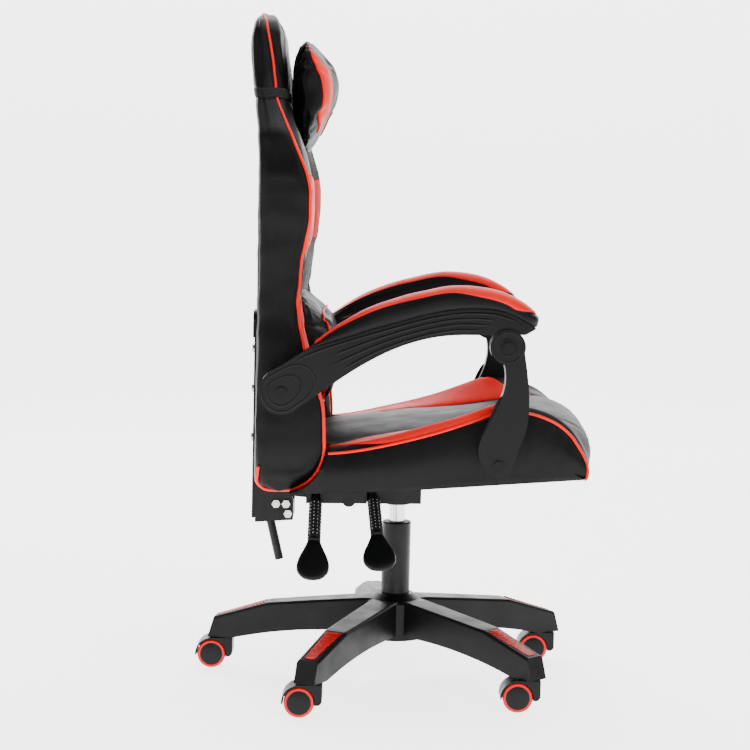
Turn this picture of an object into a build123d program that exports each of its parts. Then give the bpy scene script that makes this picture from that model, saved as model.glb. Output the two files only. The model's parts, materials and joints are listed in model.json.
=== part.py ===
from build123d import *

import os
from math import atan2, cos, radians, sin, sqrt, tan

# Gaming chair on a five-leg caster base, with a reclining back and linked armrests.
# Millimetres. +X is the way the sitter faces, +Y the sitter's left, +Z up.
# The origin lies on the floor on the swivel axis. Pieces of the sitter's right are
# drawn on Plane.XZ, whose normal is -Y, and mirrored for the left.

# ---------------------------------------------------------------- driving sizes

# fits
running_fit = 0.05          # radial play of a shaft in its bearing
soft_gap = 0.3              # between an upholstered piece and its neighbour
seat_gap = 0.2              # between rigid pieces of different bodies
swing_gap = 2.5             # between the back's lobes and the seat
cut_reach = 1.0             # cuts through the armrests run past their faces

# star base
leg_count = 5
first_leg_angle = 27.6      # from +X
caster_circle_radius = 310.0
hub_rise = 18.0             # heights of the base are counted from the legs' feet
hub_height = 77.0
hub_collar_radius = 31.0
hub_collar_flare = 12.0     # the collar is wider at its foot by this
hub_root_radius = 54.0
leg_root_width = 54.0
leg_tip_width = 38.0
leg_tip_overhang = 23.0     # beyond the caster's stem
leg_tip_slant = 11.0        # the nose leans in by this much
leg_tip_rise = 37.0
leg_root_rise = 86.0        # top of the leg at the hub
leg_crown_radius = 225.0    # where the top bends down towards the nose
leg_crown_rise = 67.5
leg_swell = 9.5             # the top's bulge between hub and crown
leg_arch_rise = 23.0        # underside near the hub
leg_arch_reach = 118.0      # from the stem to the middle of the arch
leg_boss_reach = 20.0       # flat foot behind the stem
leg_wall = 4.0
leg_edge_radius = 5.0
insert_depth = 2.0
insert_proud = 0.8
insert_margin = 6.0
insert_side_margin = 5.0
insert_taper = 5.0

# casters
wheel_radius = 25.0
wheel_trail = 18.0          # axle behind the stem
wheel_hub_radius = 19.5
wheel_inner_face = 9.0
wheel_outer_face = 22.5
tread_edge_radius = 3.0
tread_inset = 1.0           # the tread is narrower than the wheel by this on each face
hood_gap = 1.2              # between the tread and the hood
hood_wall = 2.8
hood_nose = 19.5            # front face ahead of the stem
hood_nose_bottom = 21.0
hood_nose_radius = 8.0
hood_skirt = 2.0            # the fender ends this far below the axle
hood_web = 16.0
hood_headroom = 1.0         # between the hood's top and the leg
stem_radius = 5.5
stem_socket = 31.0          # stem inside the leg
stem_depth = 30.0           # stem inside the hood
stem_flange = 3.0
axle_radius = 4.0
wheel_cap = 2.5

# column
column_radius = 25.0
column_wall = 2.5
column_length = 197.0
column_inset = 4.0          # from the hub's underside to the column's end
column_taper = 1.0          # radius lost in the hub's conical socket
bush_length = 74.0
bush_rim = 2.5
bush_lip = 0.5
cylinder_radius = 14.0
cylinder_clearance_below = 38.0     # from the closed end of the column to the cylinder
cylinder_wall = 2.5
rod_radius = 5.0
rod_head = 15.0
bearing_radius = 12.0
bearing_height = 6.0
clip_height = 2.0
valve_radius = 4.0
valve_height = 8.0
rod_collar = 3.0            # clip and shoulder beyond the rod
lift_travel = 80.0
cylinder_shown = 34.0       # bare cylinder at the lowest stop

# seat
seat_tilt = 4.8             # front edge up
seat_half_width = 250.0
seat_rear = -176.0
seat_front = 322.0
seat_side_front = 309.0
seat_pad_half_width = 165.0
skirt_slant = 14.0          # the pad's front leans back towards its foot
side_skirt_slant = 6.0
bolster_inset = 10.0        # the bolsters start ahead of the pad's rear edge
bolster_edge_radius = 16.0
# the pad's and the bolsters' tops: X, and the height above the pan's underside
pad_crown = ((-119.0, 92.0), (70.0, 101.0), (224.0, 108.0), (292.0, 86.0))
pad_rear_height = 85.5
pad_front_height = 38.0
pad_skirt_height = -7.0
bolster_ridge = ((0.0, 78.0), (110.0, 97.5), (200.0, 115.0), (270.0, 80.0))
bolster_rear_height = 68.5
bolster_front_height = 27.0
bolster_skirt_height = 1.5
pan_thickness = 3.0
pan_half_width = 209.0
pan_rear = -165.0
pan_front = 268.0
pan_room = 20.0             # free space below the pan inside the bolsters
lightening_hole_radius = 42.0
lightening_shift = 40.0     # the pan's holes lie ahead of its middle
ear_thickness = 4.0
ear_radius = 22.0

# tilt mechanism
mech_front = 40.0
mech_rear = -158.0
mech_depth = 56.0           # tray below the pan
mech_slant = 3.0            # the tray is deeper at its rear by this
mech_half_width = 74.0
mech_wall = 3.0
mech_flange = 26.0
mech_hub_radius = 23.0
mech_hub_depth = 67.0
cylinder_seat_depth = 21.0  # top of the cylinder below the pan
cylinder_draft = 1.0        # radius lost in the hub's conical seat
cross_tube_radius = 12.0
cross_tube_x = -84.0
cross_tube_rise = 4.0
mech_bolt_x = (-132.0, 14.0)
bolt_radius = 4.0
bolt_head_radius = 7.5
bolt_head_height = 5.0

# recline hinge and back bracket
hinge_x = -204.0
hinge_depth = 38.0          # below the pan's underside on the swivel axis
link_lean = 10.0            # the armrest linkage's equal pair of sides, as a vector
link_rise = 192.0
support_foot_x = 158.0
support_foot_rise = 29.25   # above the pan
hinge_pin_radius = 7.0
hinge_pin_stand = 2.0
hinge_eye_radius = 14.0
hinge_ear_inner = 25.0      # the two fixed ears
hinge_ear_thickness = 6.0
bracket_wall = 5.0
bracket_reach = 23.0        # ahead of the hinge
bracket_set_back = 43.5     # from the hinge to the outer face of the web, where the bar lies
bracket_depth = 62.0        # below the hinge
bracket_height = 22.0       # above the hinge
bracket_slant = 5.0
bar_thickness = 6.0
bar_width = 64.0
bar_length = 358.0
bar_lift = 7.0              # from the bracket's foot to the bar's
bar_corner_radius = 12.0
bar_cap_height = 46.0
bar_cap_wall = 2.5
bar_bolt_rises = (138.0, 223.0, 293.0)      # from the foot of the bar
bracket_bolt_offsets = ((-7.0, -29.0), (10.5, -29.0), (14.0, -46.0))    # from the hinge
yoke_half_width = 21.0
yoke_chamfer = 8.0          # clears the fixed ears when the back reclines
tail_radius = 7.5
tail_drop = 79.0
tail_lean = 13.5            # forward lean of the tail tube, degrees

# backrest; its heights are counted from the pan's underside on the swivel axis
back_rear = -236.0
back_foot_rise = -3.0
back_rise = 781.0
back_pad_half_width = 150.0
back_recess_front = -192.0  # face of the pad between the wings
back_hollow = 3.0           # the face's curve above the lumbar pillow
back_crest_lean = 36.0      # the head leans back behind the pad's rear by this
back_nape_rise = 515.0      # where the head starts to lean back
wing_foot_radius = 76.0
wing_foot_x = -199.0
wing_foot_rise = 60.0
wing_lean = 30.0            # how far the wings' inner faces lean outwards, degrees
# the wings' front edge: distance ahead of the pad's rear, and height
back_front_line = (
    (104.0, 148.0),
    (70.0, 265.0),
    (74.0, 335.0),
    (88.0, 410.0),
    (90.0, 460.0),
    (80.0, 530.0),
    (56.0, 590.0),
    (48.0, 645.0),
    (42.0, 705.0),
    (32.0, 753.0),
)
# the right edge of the back from the front: distance in from the seat's side, and height
back_edge_line = (
    (32.0, -19.0),
    (1.0, 75.0),
    (2.0, 185.0),
    (13.0, 280.0),
    (0.0, 395.0),
    (-10.0, 475.0),
    (4.0, 560.0),
    (54.0, 615.0),
    (92.0, 665.0),
    (100.0, 720.0),
    (122.0, 765.0),
    (160.0, 783.0),
)
back_frame_thickness = 3.0
back_frame_inset = 6.0      # behind the cover
back_frame_margin = 30.0    # from the pad's sides
back_frame_rise = 715.0
flange_thickness = 4.0
flange_half_height = 26.0

# armrests
arm_gap = 4.0               # between the seat's side and the arms
carrier_width = 30.0
arm_pad_overhang = 14.0     # inwards beyond the carrier
arm_pad_width = 60.0
arm_eye_radius = 37.0
cheek_radius = 28.5
cheek_proud = 3.0           # outer cheek beyond the carrier
lug_radius = 26.0
lug_thickness = 13.0
lug_neck_width = 41.6
lug_neck_root = 4.0         # the neck runs past the hollow into the arm
arm_bolt_radius = 5.0
arm_cap_radius = 8.5
arm_cap_height = 4.0
# outlines from the side, as places ahead of and above one of the arm's two pivots
pad_tail = (42.0, 71.0)                     # from the rear pivot
pad_nose = (45.0, 30.5)                     # from the front pivot
seam_rear = ((159.0, 108.0),)
seam_front = ((-118.0, 51.5), (-58.0, 59.5), (-8.0, 55.5))
pad_top_rear = ((96.0, 112.0), (159.0, 145.0))
pad_top_front = ((-119.0, 90.5), (-68.0, 96.5), (-17.0, 91.5), (22.0, 75.5), (49.0, 46.5))
under_front = ((28.0, 20.5), (-41.0, 18.5), (-104.0, 15.5))
under_rear = ((170.0, 69.0), (102.0, 29.0))
# the support's edges: near its upper pivot, and near its foot
support_crown = ((27.0, -8.0), (36.0, -78.5))
support_toe = (
    (42.0, 56.5),
    (30.0, 21.5),
    (8.0, -19.5),
    (-23.0, -3.5),
    (-33.0, 25.5),
    (-17.0, 68.5),
)
support_nape = ((-5.0, -71.5), (-6.0, -26.0))

# pillows
head_pillow_height = 188.0
head_pillow_drop = 53.0     # below the back's crest
head_pillow_depth = 76.0
head_pillow_corner = 45.0
strap_width = 16.0
strap_thickness = 2.0
strap_drop = 81.0           # below the pillow's top
strap_inset = 72.0          # from the seat's side to the strap beside the head
strap_rear_gap = 19.5       # from the pad's rear to the strap behind the head
strap_bend_radius = 10.0
lumbar_side_gap = 10.0      # from the pillow's end to the wing's seam
lumbar_height = 218.0
lumbar_rise = 89.0
lumbar_depth = 76.0
lumbar_corner = 35.0

# levers
lever_axis_y = 45.0         # distance of the hinge line from the middle
lever_axis_depth = 23.0     # below the pan's underside on the swivel axis
lever_rod_radius = 4.0
lever_rod_reach = 48.0      # from the hinge line to the sleeve
sleeve_radius = 9.5
sleeve_length = 78.0
paddle_length = 80.0
paddle_half_width = 27.5
paddle_belly = 27.0         # widest this far from its end
paddle_shoulder = 17.0      # half width nearer the sleeve
paddle_shoulder_drop = 19.5
paddle_thickness = 9.0
lever_rib_thickness = 3.0
lever_rib_reach = 10.0      # ribs stand this far each side of a lever's arm
lever_rib_cap = 4.0
finger_gap = 1.2            # between the lever's finger and the valve
height_lever_x = -45.5
height_lever_slope = 37.0   # below level
height_lever_splay = 5.0    # leans ahead by this angle
recline_lever_x = -141.0
recline_lever_slope = 45.0
recline_lever_splay = 0.0

# ---------------------------------------------------------------- worked-out places

# the chair stands up from its wheels: casters, base, column, gas cylinder, seat
leg_foot_height = 2 * wheel_radius + hood_gap + hood_wall + hood_headroom
hood_top = leg_foot_height - hood_headroom
hub_bottom = leg_foot_height + hub_rise
hub_top = hub_bottom + hub_height
leg_root_height = leg_foot_height + leg_root_rise
leg_crown_height = leg_foot_height + leg_crown_rise
leg_arch_height = leg_foot_height + leg_arch_rise
column_inner = column_radius - column_wall
column_bottom = hub_bottom + column_inset
column_top = column_bottom + column_length
cylinder_bottom = column_bottom + column_wall + cylinder_clearance_below
mech_hub_bottom = column_top + cylinder_shown
seat_plane_height = mech_hub_bottom + mech_hub_depth
cylinder_top = seat_plane_height - cylinder_seat_depth
mech_bottom = seat_plane_height - mech_depth
lever_axis_z = seat_plane_height - lever_axis_depth
seat_slope = tan(radians(seat_tilt))
seat_plane = Plane(
    origin=(0, 0, seat_plane_height),
    x_dir=(cos(radians(seat_tilt)), 0, sin(radians(seat_tilt))),
    z_dir=(-sin(radians(seat_tilt)), 0, cos(radians(seat_tilt))),
)
RIGHT = Plane.XZ            # its normal points to the sitter's right


def seat_z(x, above=0.0):
    """Height of the seat pan's plane at x, moved up by above."""
    return seat_plane_height + seat_slope * x + above / cos(radians(seat_tilt))


def seat_points(line):
    """Points of an outline on the seat, from X and the height above the pan."""
    return [(x, seat_z(x, above)) for x, above in line]


def side_plane(distance):
    """The XZ plane at a distance to the sitter's right."""
    return RIGHT.offset(distance)


def save(builder, name):
    """Label a finished piece and write its file."""
    builder.part.label = name
    export_step(builder.part, f"parts/{name}.step")


# the armrest linkage is a parallelogram: hinge, arm pivot, front pivot, support foot
link = Vector(link_lean, 0, link_rise)
hinge = Vector(hinge_x, 0, seat_plane_height - hinge_depth)
arm_pivot = hinge + link
support_foot = Vector(support_foot_x, 0, seat_z(support_foot_x) + support_foot_rise)
front_pivot = support_foot + link
wing_foot = Vector(wing_foot_x, 0, seat_plane_height + wing_foot_rise)  # centre of the lobes

os.makedirs("parts", exist_ok=True)

# ---------------------------------------------------------------- star base

leg_tip = caster_circle_radius + leg_tip_overhang
leg_nose = leg_tip - leg_tip_slant
nose_top = leg_foot_height + leg_tip_rise
swell_radius = (hub_root_radius + leg_crown_radius) / 2
insert_end = leg_nose - insert_margin

with BuildPart() as leg:
    with BuildSketch(RIGHT):
        with BuildLine():
            Polyline(
                (0, leg_arch_height),
                (0, leg_root_height),
                (hub_root_radius, leg_root_height),
                (swell_radius, leg_crown_height + leg_swell),
                (leg_crown_radius, leg_crown_height),
                (leg_nose, nose_top),
                (leg_tip, leg_foot_height),
                (caster_circle_radius - leg_boss_reach, leg_foot_height),
            )
            ThreePointArc(
                (caster_circle_radius - leg_boss_reach, leg_foot_height),
                (caster_circle_radius - leg_arch_reach, leg_arch_height - leg_wall),
                (0, leg_arch_height),
            )
        make_face()
    extrude(amount=leg_root_width / 2, both=True)
    with BuildSketch(Plane.XY):
        Polygon(
            (0, -leg_root_width / 2),
            (leg_tip, -leg_tip_width / 2),
            (leg_tip, leg_tip_width / 2),
            (0, leg_root_width / 2),
            align=None,
        )
    extrude(amount=hub_top, mode=Mode.INTERSECT)
    top_edges = leg.edges().filter_by(
        lambda e: e.center().Z > nose_top - 1 and abs(e.center().Y) > leg_tip_width / 4
    )
    fillet(top_edges, leg_edge_radius)
    # the moulding is hollow from below, between the hub and the caster's boss
    with BuildSketch(RIGHT):
        Polygon(
            (hub_root_radius + leg_wall, 0),
            (hub_root_radius + leg_wall, leg_root_height - 3 * leg_wall),
            (leg_crown_radius, leg_crown_height - 2 * leg_wall),
            (caster_circle_radius - 4 * leg_wall, nose_top - leg_wall),
            (caster_circle_radius - 4 * leg_wall, 0),
            align=None,
        )
    extrude(amount=leg_tip_width / 2 - leg_wall, both=True, mode=Mode.SUBTRACT)

# the insert lies on the sloping end of the leg
nose_slope = atan2(leg_crown_height - nose_top, leg_nose - leg_crown_radius)
insert_plane = Plane(
    origin=(leg_crown_radius, 0, leg_crown_height),
    x_dir=(cos(nose_slope), 0, -sin(nose_slope)),
    z_dir=(sin(nose_slope), 0, cos(nose_slope)),
)
insert_length = (insert_end - leg_crown_radius) / cos(nose_slope)
insert_half_width = leg_tip_width / 2 - insert_side_margin
with BuildSketch(insert_plane) as insert_outline:
    Polygon(
        (insert_margin, -insert_half_width),
        (insert_length, insert_taper - insert_half_width),
        (insert_length, insert_half_width - insert_taper),
        (insert_margin, insert_half_width),
        align=None,
    )
with BuildPart() as insert:
    extrude(insert_outline.sketch, amount=insert_proud)
    extrude(insert_outline.sketch, amount=-insert_depth)

with BuildPart() as star_base:
    with BuildSketch(RIGHT):
        Polygon(
            (0, hub_bottom),
            (hub_root_radius, hub_bottom),
            (hub_root_radius, leg_root_height - leg_wall),
            (hub_collar_radius + hub_collar_flare, leg_root_height),
            (hub_collar_radius, hub_top),
            (0, hub_top),
            align=None,
        )
    revolve(axis=Axis.Z)
    with PolarLocations(0, leg_count, start_angle=first_leg_angle):
        add(leg.part)
    with BuildSketch(RIGHT):
        Polygon(
            (0, hub_bottom),
            (column_radius - column_taper, hub_bottom),
            (column_radius - column_taper, column_bottom),
            (column_radius, hub_top),
            (0, hub_top),
            align=None,
        )
    revolve(axis=Axis.Z, mode=Mode.SUBTRACT)
    with PolarLocations(caster_circle_radius, leg_count, start_angle=first_leg_angle):
        with Locations((0, 0, leg_foot_height)):
            Cylinder(
                stem_radius,
                stem_socket,
                align=(Align.CENTER, Align.CENTER, Align.MIN),
                mode=Mode.SUBTRACT,
            )
    with PolarLocations(0, leg_count, start_angle=first_leg_angle):
        add(insert.part, mode=Mode.SUBTRACT)
save(star_base, "star_base")

with BuildPart() as star_inserts:
    with PolarLocations(0, leg_count, start_angle=first_leg_angle):
        add(insert.part)
save(star_inserts, "star_inserts")

with BuildPart() as caster_stems:
    with PolarLocations(caster_circle_radius, leg_count, start_angle=first_leg_angle):
        with Locations((0, 0, hood_top - stem_depth)):
            Cylinder(
                stem_radius,
                stem_depth + hood_headroom + stem_socket,
                align=(Align.CENTER, Align.CENTER, Align.MIN),
            )
        with Locations((0, 0, hood_top + seat_gap)):
            Cylinder(
                stem_radius + stem_flange,
                hood_headroom - seat_gap,
                align=(Align.CENTER, Align.CENTER, Align.MIN),
            )
save(caster_stems, "caster_stems")

# ---------------------------------------------------------------- casters


def make_caster(number, stem):
    """One twin-wheel caster trailing towards -X under its stem."""

    def plane(y):
        return Plane(origin=(stem.X, stem.Y + y, 0), x_dir=(1, 0, 0), z_dir=(0, -1, 0))

    hub = (-wheel_trail, wheel_radius)
    hood_inner = wheel_radius + hood_gap
    hood_outer = hood_inner + hood_wall
    nose_width = hood_nose + wheel_trail

    with BuildPart() as hood:
        # fender over the wheels, with the block ahead of them
        with BuildSketch(plane(0)):
            with Locations(hub):
                Circle(hood_outer)
            with Locations((-wheel_trail, hood_nose_bottom)):
                Rectangle(
                    nose_width,
                    hood_top - hood_nose_bottom,
                    align=(Align.MIN, Align.MIN),
                )
            with Locations(hub):
                Circle(hood_inner, mode=Mode.SUBTRACT)
            with Locations((-wheel_trail, wheel_radius - hood_skirt)):
                Rectangle(
                    2 * hood_outer,
                    2 * hood_outer,
                    align=(Align.MAX, Align.MAX),
                    mode=Mode.SUBTRACT,
                )
            with Locations((0, -hood_outer + hood_nose_bottom)):
                Rectangle(
                    4 * hood_outer,
                    hood_outer,
                    align=(Align.CENTER, Align.MIN),
                    mode=Mode.SUBTRACT,
                )
        extrude(amount=wheel_outer_face, both=True)
        upright = hood.edges().filter_by(Axis.Y).sort_by(Axis.X)[-2:].sort_by(Axis.Z)
        fillet(upright[0], hood_nose_radius)
        # web between the wheels, with the stem's boss
        with BuildSketch(plane(0)):
            with Locations(hub):
                Circle(wheel_radius - hood_web / 4)
            with Locations((0, wheel_radius - hood_web / 2)):
                Rectangle(hood_web, hood_top - wheel_radius, align=(Align.CENTER, Align.MIN))
        extrude(amount=hood_web / 2, both=True)
        with Locations((stem.X, stem.Y, hood_top - stem_depth)):
            Cylinder(
                stem_radius + running_fit,
                stem_depth,
                align=(Align.CENTER, Align.CENTER, Align.MIN),
                mode=Mode.SUBTRACT,
            )
        with BuildSketch(plane(0)):
            with Locations(hub):
                Circle(axle_radius)
        extrude(amount=wheel_outer_face, both=True, mode=Mode.SUBTRACT)
    save(hood, f"caster_hood_{number}")

    with BuildPart() as axle:
        with BuildSketch(plane(0)):
            with Locations(hub):
                Circle(axle_radius)
        extrude(amount=wheel_outer_face - wheel_cap - seat_gap, both=True)
    save(axle, f"caster_axle_{number}")

    with BuildPart() as wheels:
        for side in (1, -1):
            with BuildSketch(plane(side * wheel_outer_face)):
                with Locations(hub):
                    Circle(wheel_hub_radius)
            extrude(amount=side * (wheel_outer_face - wheel_inner_face))
            with BuildSketch(plane(side * (wheel_outer_face - wheel_cap))):
                with Locations(hub):
                    Circle(axle_radius + running_fit)
            extrude(amount=side * wheel_outer_face / 2, mode=Mode.SUBTRACT)
    save(wheels, f"caster_wheels_{number}")

    with BuildPart() as treads:
        for side in (1, -1):
            with BuildSketch(plane(side * (wheel_outer_face - tread_inset))):
                with Locations(hub):
                    Circle(wheel_radius)
                    Circle(wheel_hub_radius, mode=Mode.SUBTRACT)
            extrude(amount=side * (wheel_outer_face - tread_inset - wheel_inner_face))
        rims = treads.edges().filter_by(
            lambda e: abs(e.radius - wheel_radius) < 0.01 if e.geom_type == GeomType.CIRCLE else False
        )
        fillet(rims, tread_edge_radius)
    save(treads, f"caster_treads_{number}")


for number in range(leg_count):
    angle = radians(first_leg_angle + number * 360 / leg_count)
    make_caster(
        number + 1,
        Vector(caster_circle_radius * cos(angle), caster_circle_radius * sin(angle), 0),
    )

# ---------------------------------------------------------------- column and gas lift

tube_floor = column_bottom + column_wall
bearing_top = tube_floor + bearing_height

with BuildPart() as column_tube:
    with BuildSketch(RIGHT):
        Polygon(
            (rod_radius + column_taper, column_bottom),
            (column_radius - column_taper, column_bottom),
            (column_radius, hub_top),
            (column_radius, column_top),
            (column_inner, column_top),
            (column_inner, hub_top),
            (column_inner - column_taper, tube_floor),
            (rod_radius + column_taper, tube_floor),
            align=None,
        )
    revolve(axis=Axis.Z)
save(column_tube, "column_tube")

with BuildPart() as column_bush:
    with BuildSketch(RIGHT):
        Polygon(
            (cylinder_radius + running_fit, column_top - bush_length),
            (column_inner, column_top - bush_length),
            (column_inner, column_top),
            (column_radius + bush_lip, column_top),
            (column_radius - bush_lip, column_top + bush_rim),
            (cylinder_radius + running_fit, column_top + bush_rim),
            align=None,
        )
    revolve(axis=Axis.Z)
save(column_bush, "column_bush")

with BuildPart() as thrust_bearing:
    with BuildSketch(Plane.XY.offset(tube_floor)):
        Circle(bearing_radius)
        Circle(rod_radius + running_fit, mode=Mode.SUBTRACT)
    extrude(amount=bearing_height)
save(thrust_bearing, "thrust_bearing")

rod_top = cylinder_bottom + lift_travel + 2 * rod_head
with BuildPart() as piston_rod:
    with BuildSketch(Plane.XY.offset(column_bottom - 2 * clip_height)):
        Circle(rod_radius)
    extrude(amount=rod_top - column_bottom + 2 * clip_height)
    # the clip below the column's floor, and the shoulder that sits on the bearing
    with BuildSketch(Plane.XY.offset(column_bottom - clip_height - running_fit)):
        Circle(rod_radius + rod_collar)
    extrude(amount=clip_height)
    with BuildSketch(Plane.XY.offset(bearing_top + running_fit)):
        Circle(rod_radius + rod_collar)
    extrude(amount=bearing_height)
    with BuildSketch(Plane.XY.offset(rod_top - rod_head)):
        Circle(cylinder_radius - cylinder_wall - running_fit)
    extrude(amount=rod_head)
save(piston_rod, "piston_rod")

chamber_bottom = cylinder_bottom + 3 * cylinder_wall
chamber_top = rod_top + 4 * cylinder_wall
with BuildPart() as gas_cylinder:
    with BuildSketch(RIGHT):
        Polygon(
            (0, cylinder_bottom),
            (cylinder_radius, cylinder_bottom),
            (cylinder_radius, mech_hub_bottom),
            (cylinder_radius - cylinder_draft, cylinder_top),
            (0, cylinder_top),
            align=None,
        )
    revolve(axis=Axis.Z)
    with BuildSketch(Plane.XY.offset(cylinder_bottom)):
        Circle(rod_radius + running_fit)
    extrude(amount=chamber_bottom - cylinder_bottom, mode=Mode.SUBTRACT)
    with BuildSketch(Plane.XY.offset(chamber_bottom)):
        Circle(cylinder_radius - cylinder_wall)
    extrude(amount=chamber_top - chamber_bottom, mode=Mode.SUBTRACT)
    # the valve's bore
    with BuildSketch(Plane.XY.offset(cylinder_top - 2 * valve_height)):
        Circle(valve_radius + running_fit)
    extrude(amount=2 * valve_height, mode=Mode.SUBTRACT)
save(gas_cylinder, "gas_cylinder")

valve_top = cylinder_top + valve_height
with BuildPart() as valve_button:
    with BuildSketch(Plane.XY.offset(cylinder_top - valve_height)):
        Circle(valve_radius)
    extrude(amount=2 * valve_height)
    fillet(valve_button.edges().group_by(Axis.Z)[-1], valve_radius / 3)
save(valve_button, "valve_button")

# ---------------------------------------------------------------- tilt mechanism

lever_x = {"height": height_lever_x, "recline": recline_lever_x}
lever_angles = {
    "height": (height_lever_slope, height_lever_splay),
    "recline": (recline_lever_slope, recline_lever_splay),
}
lever_knee = 2.5 * lever_rod_radius     # the ribs stand past the hinge line by this
rib_top = lever_axis_z + lever_rod_radius + lever_rib_cap

with BuildPart() as tilt_mechanism:
    # pressed tray under the pan, open at the top
    with BuildSketch(RIGHT):
        Polygon(
            (mech_rear, mech_bottom - mech_slant),
            (mech_front, mech_bottom),
            (mech_front, seat_z(mech_front)),
            (mech_rear, seat_z(mech_rear)),
            align=None,
        )
    extrude(amount=mech_half_width, both=True)
    with BuildSketch(RIGHT):
        Polygon(
            (mech_rear + mech_wall, mech_bottom - mech_slant + mech_wall),
            (mech_front - mech_wall, mech_bottom + mech_wall),
            (mech_front - mech_wall, seat_z(mech_front) + mech_wall),
            (mech_rear + mech_wall, seat_z(mech_rear) + mech_wall),
            align=None,
        )
    extrude(amount=mech_half_width - mech_wall, both=True, mode=Mode.SUBTRACT)
    # side flanges that bolt to the pan
    for side in (1, -1):
        with BuildSketch(side_plane(side * mech_half_width)):
            Polygon(
                (mech_rear, seat_z(mech_rear, -mech_wall)),
                (mech_front, seat_z(mech_front, -mech_wall)),
                (mech_front, seat_z(mech_front)),
                (mech_rear, seat_z(mech_rear)),
                align=None,
            )
        extrude(amount=side * mech_flange)
    # hub for the gas cylinder, and the cross tube
    with BuildSketch(Plane.XY.offset(mech_hub_bottom)):
        Circle(mech_hub_radius)
    extrude(amount=cylinder_top - valve_height - mech_hub_bottom)
    with BuildSketch(side_plane(0)):
        with Locations((cross_tube_x, mech_bottom + cross_tube_rise)):
            Circle(cross_tube_radius)
    extrude(amount=mech_half_width, both=True)
    with BuildSketch(RIGHT):
        Polygon(
            (0, mech_hub_bottom),
            (cylinder_radius, mech_hub_bottom),
            (cylinder_radius - cylinder_draft, cylinder_top),
            (0, cylinder_top),
            align=None,
        )
    revolve(axis=Axis.Z, mode=Mode.SUBTRACT)
    # fixed ears of the recline hinge
    for side in (1, -1):
        with BuildSketch(side_plane(side * hinge_ear_inner)):
            Polygon(
                (mech_rear + mech_wall, mech_bottom),
                (mech_rear + mech_wall, seat_z(mech_rear) - mech_wall),
                (hinge.X, hinge.Z + hinge_eye_radius),
                (hinge.X, hinge.Z - hinge_eye_radius),
                align=None,
            )
            with Locations((hinge.X, hinge.Z)):
                Circle(hinge_eye_radius)
                Circle(hinge_pin_radius, mode=Mode.SUBTRACT)
        extrude(amount=side * hinge_ear_thickness)
    # ribs that carry the levers' bars, and a slot for each lever's arm
    for x in lever_x.values():
        for rib_x in (x - lever_rib_reach, x + lever_rib_reach):
            with BuildSketch(Plane.YZ.offset(rib_x - lever_rib_thickness / 2)):
                with Locations((-mech_half_width + mech_wall / 2, mech_bottom)):
                    Rectangle(
                        mech_half_width - lever_axis_y + lever_knee,
                        rib_top - mech_bottom,
                        align=(Align.MIN, Align.MIN),
                    )
                with Locations((-lever_axis_y, lever_axis_z)):
                    Circle(lever_rod_radius + running_fit, mode=Mode.SUBTRACT)
            extrude(amount=lever_rib_thickness)
        with BuildSketch(side_plane(lever_axis_y + lever_knee)):
            with Locations((x, lever_axis_z)):
                Rectangle(
                    4 * lever_rod_radius,
                    2 * mech_depth,
                    align=(Align.CENTER, Align.MAX),
                )
        extrude(amount=mech_half_width, mode=Mode.SUBTRACT)
    # bolt holes in the flanges
    with BuildSketch(seat_plane):
        for x in mech_bolt_x:
            with GridLocations(0, 2 * mech_half_width + mech_flange, 1, 2):
                with Locations((x, 0)):
                    Circle(bolt_radius)
    extrude(amount=-2 * mech_wall, mode=Mode.SUBTRACT)
save(tilt_mechanism, "tilt_mechanism")

with BuildPart() as mechanism_bolts:
    for x in mech_bolt_x:
        for y in (-mech_half_width - mech_flange / 2, mech_half_width + mech_flange / 2):
            with BuildSketch(seat_plane.offset(-mech_wall)):
                with Locations((x, y)):
                    Circle(bolt_radius)
            extrude(amount=mech_wall + pan_thickness)
            with BuildSketch(seat_plane.offset(-mech_wall)):
                with Locations((x, y)):
                    RegularPolygon(bolt_head_radius, 6)
            extrude(amount=-bolt_head_height)
save(mechanism_bolts, "mechanism_bolts")

with BuildPart() as hinge_pin:
    pin_half = hinge_ear_inner + hinge_ear_thickness + seat_gap + bracket_wall
    with BuildSketch(side_plane(0)):
        with Locations((hinge.X, hinge.Z)):
            Circle(hinge_pin_radius)
    extrude(amount=pin_half + hinge_pin_stand, both=True)
save(hinge_pin, "hinge_pin")

# ---------------------------------------------------------------- levers


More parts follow.
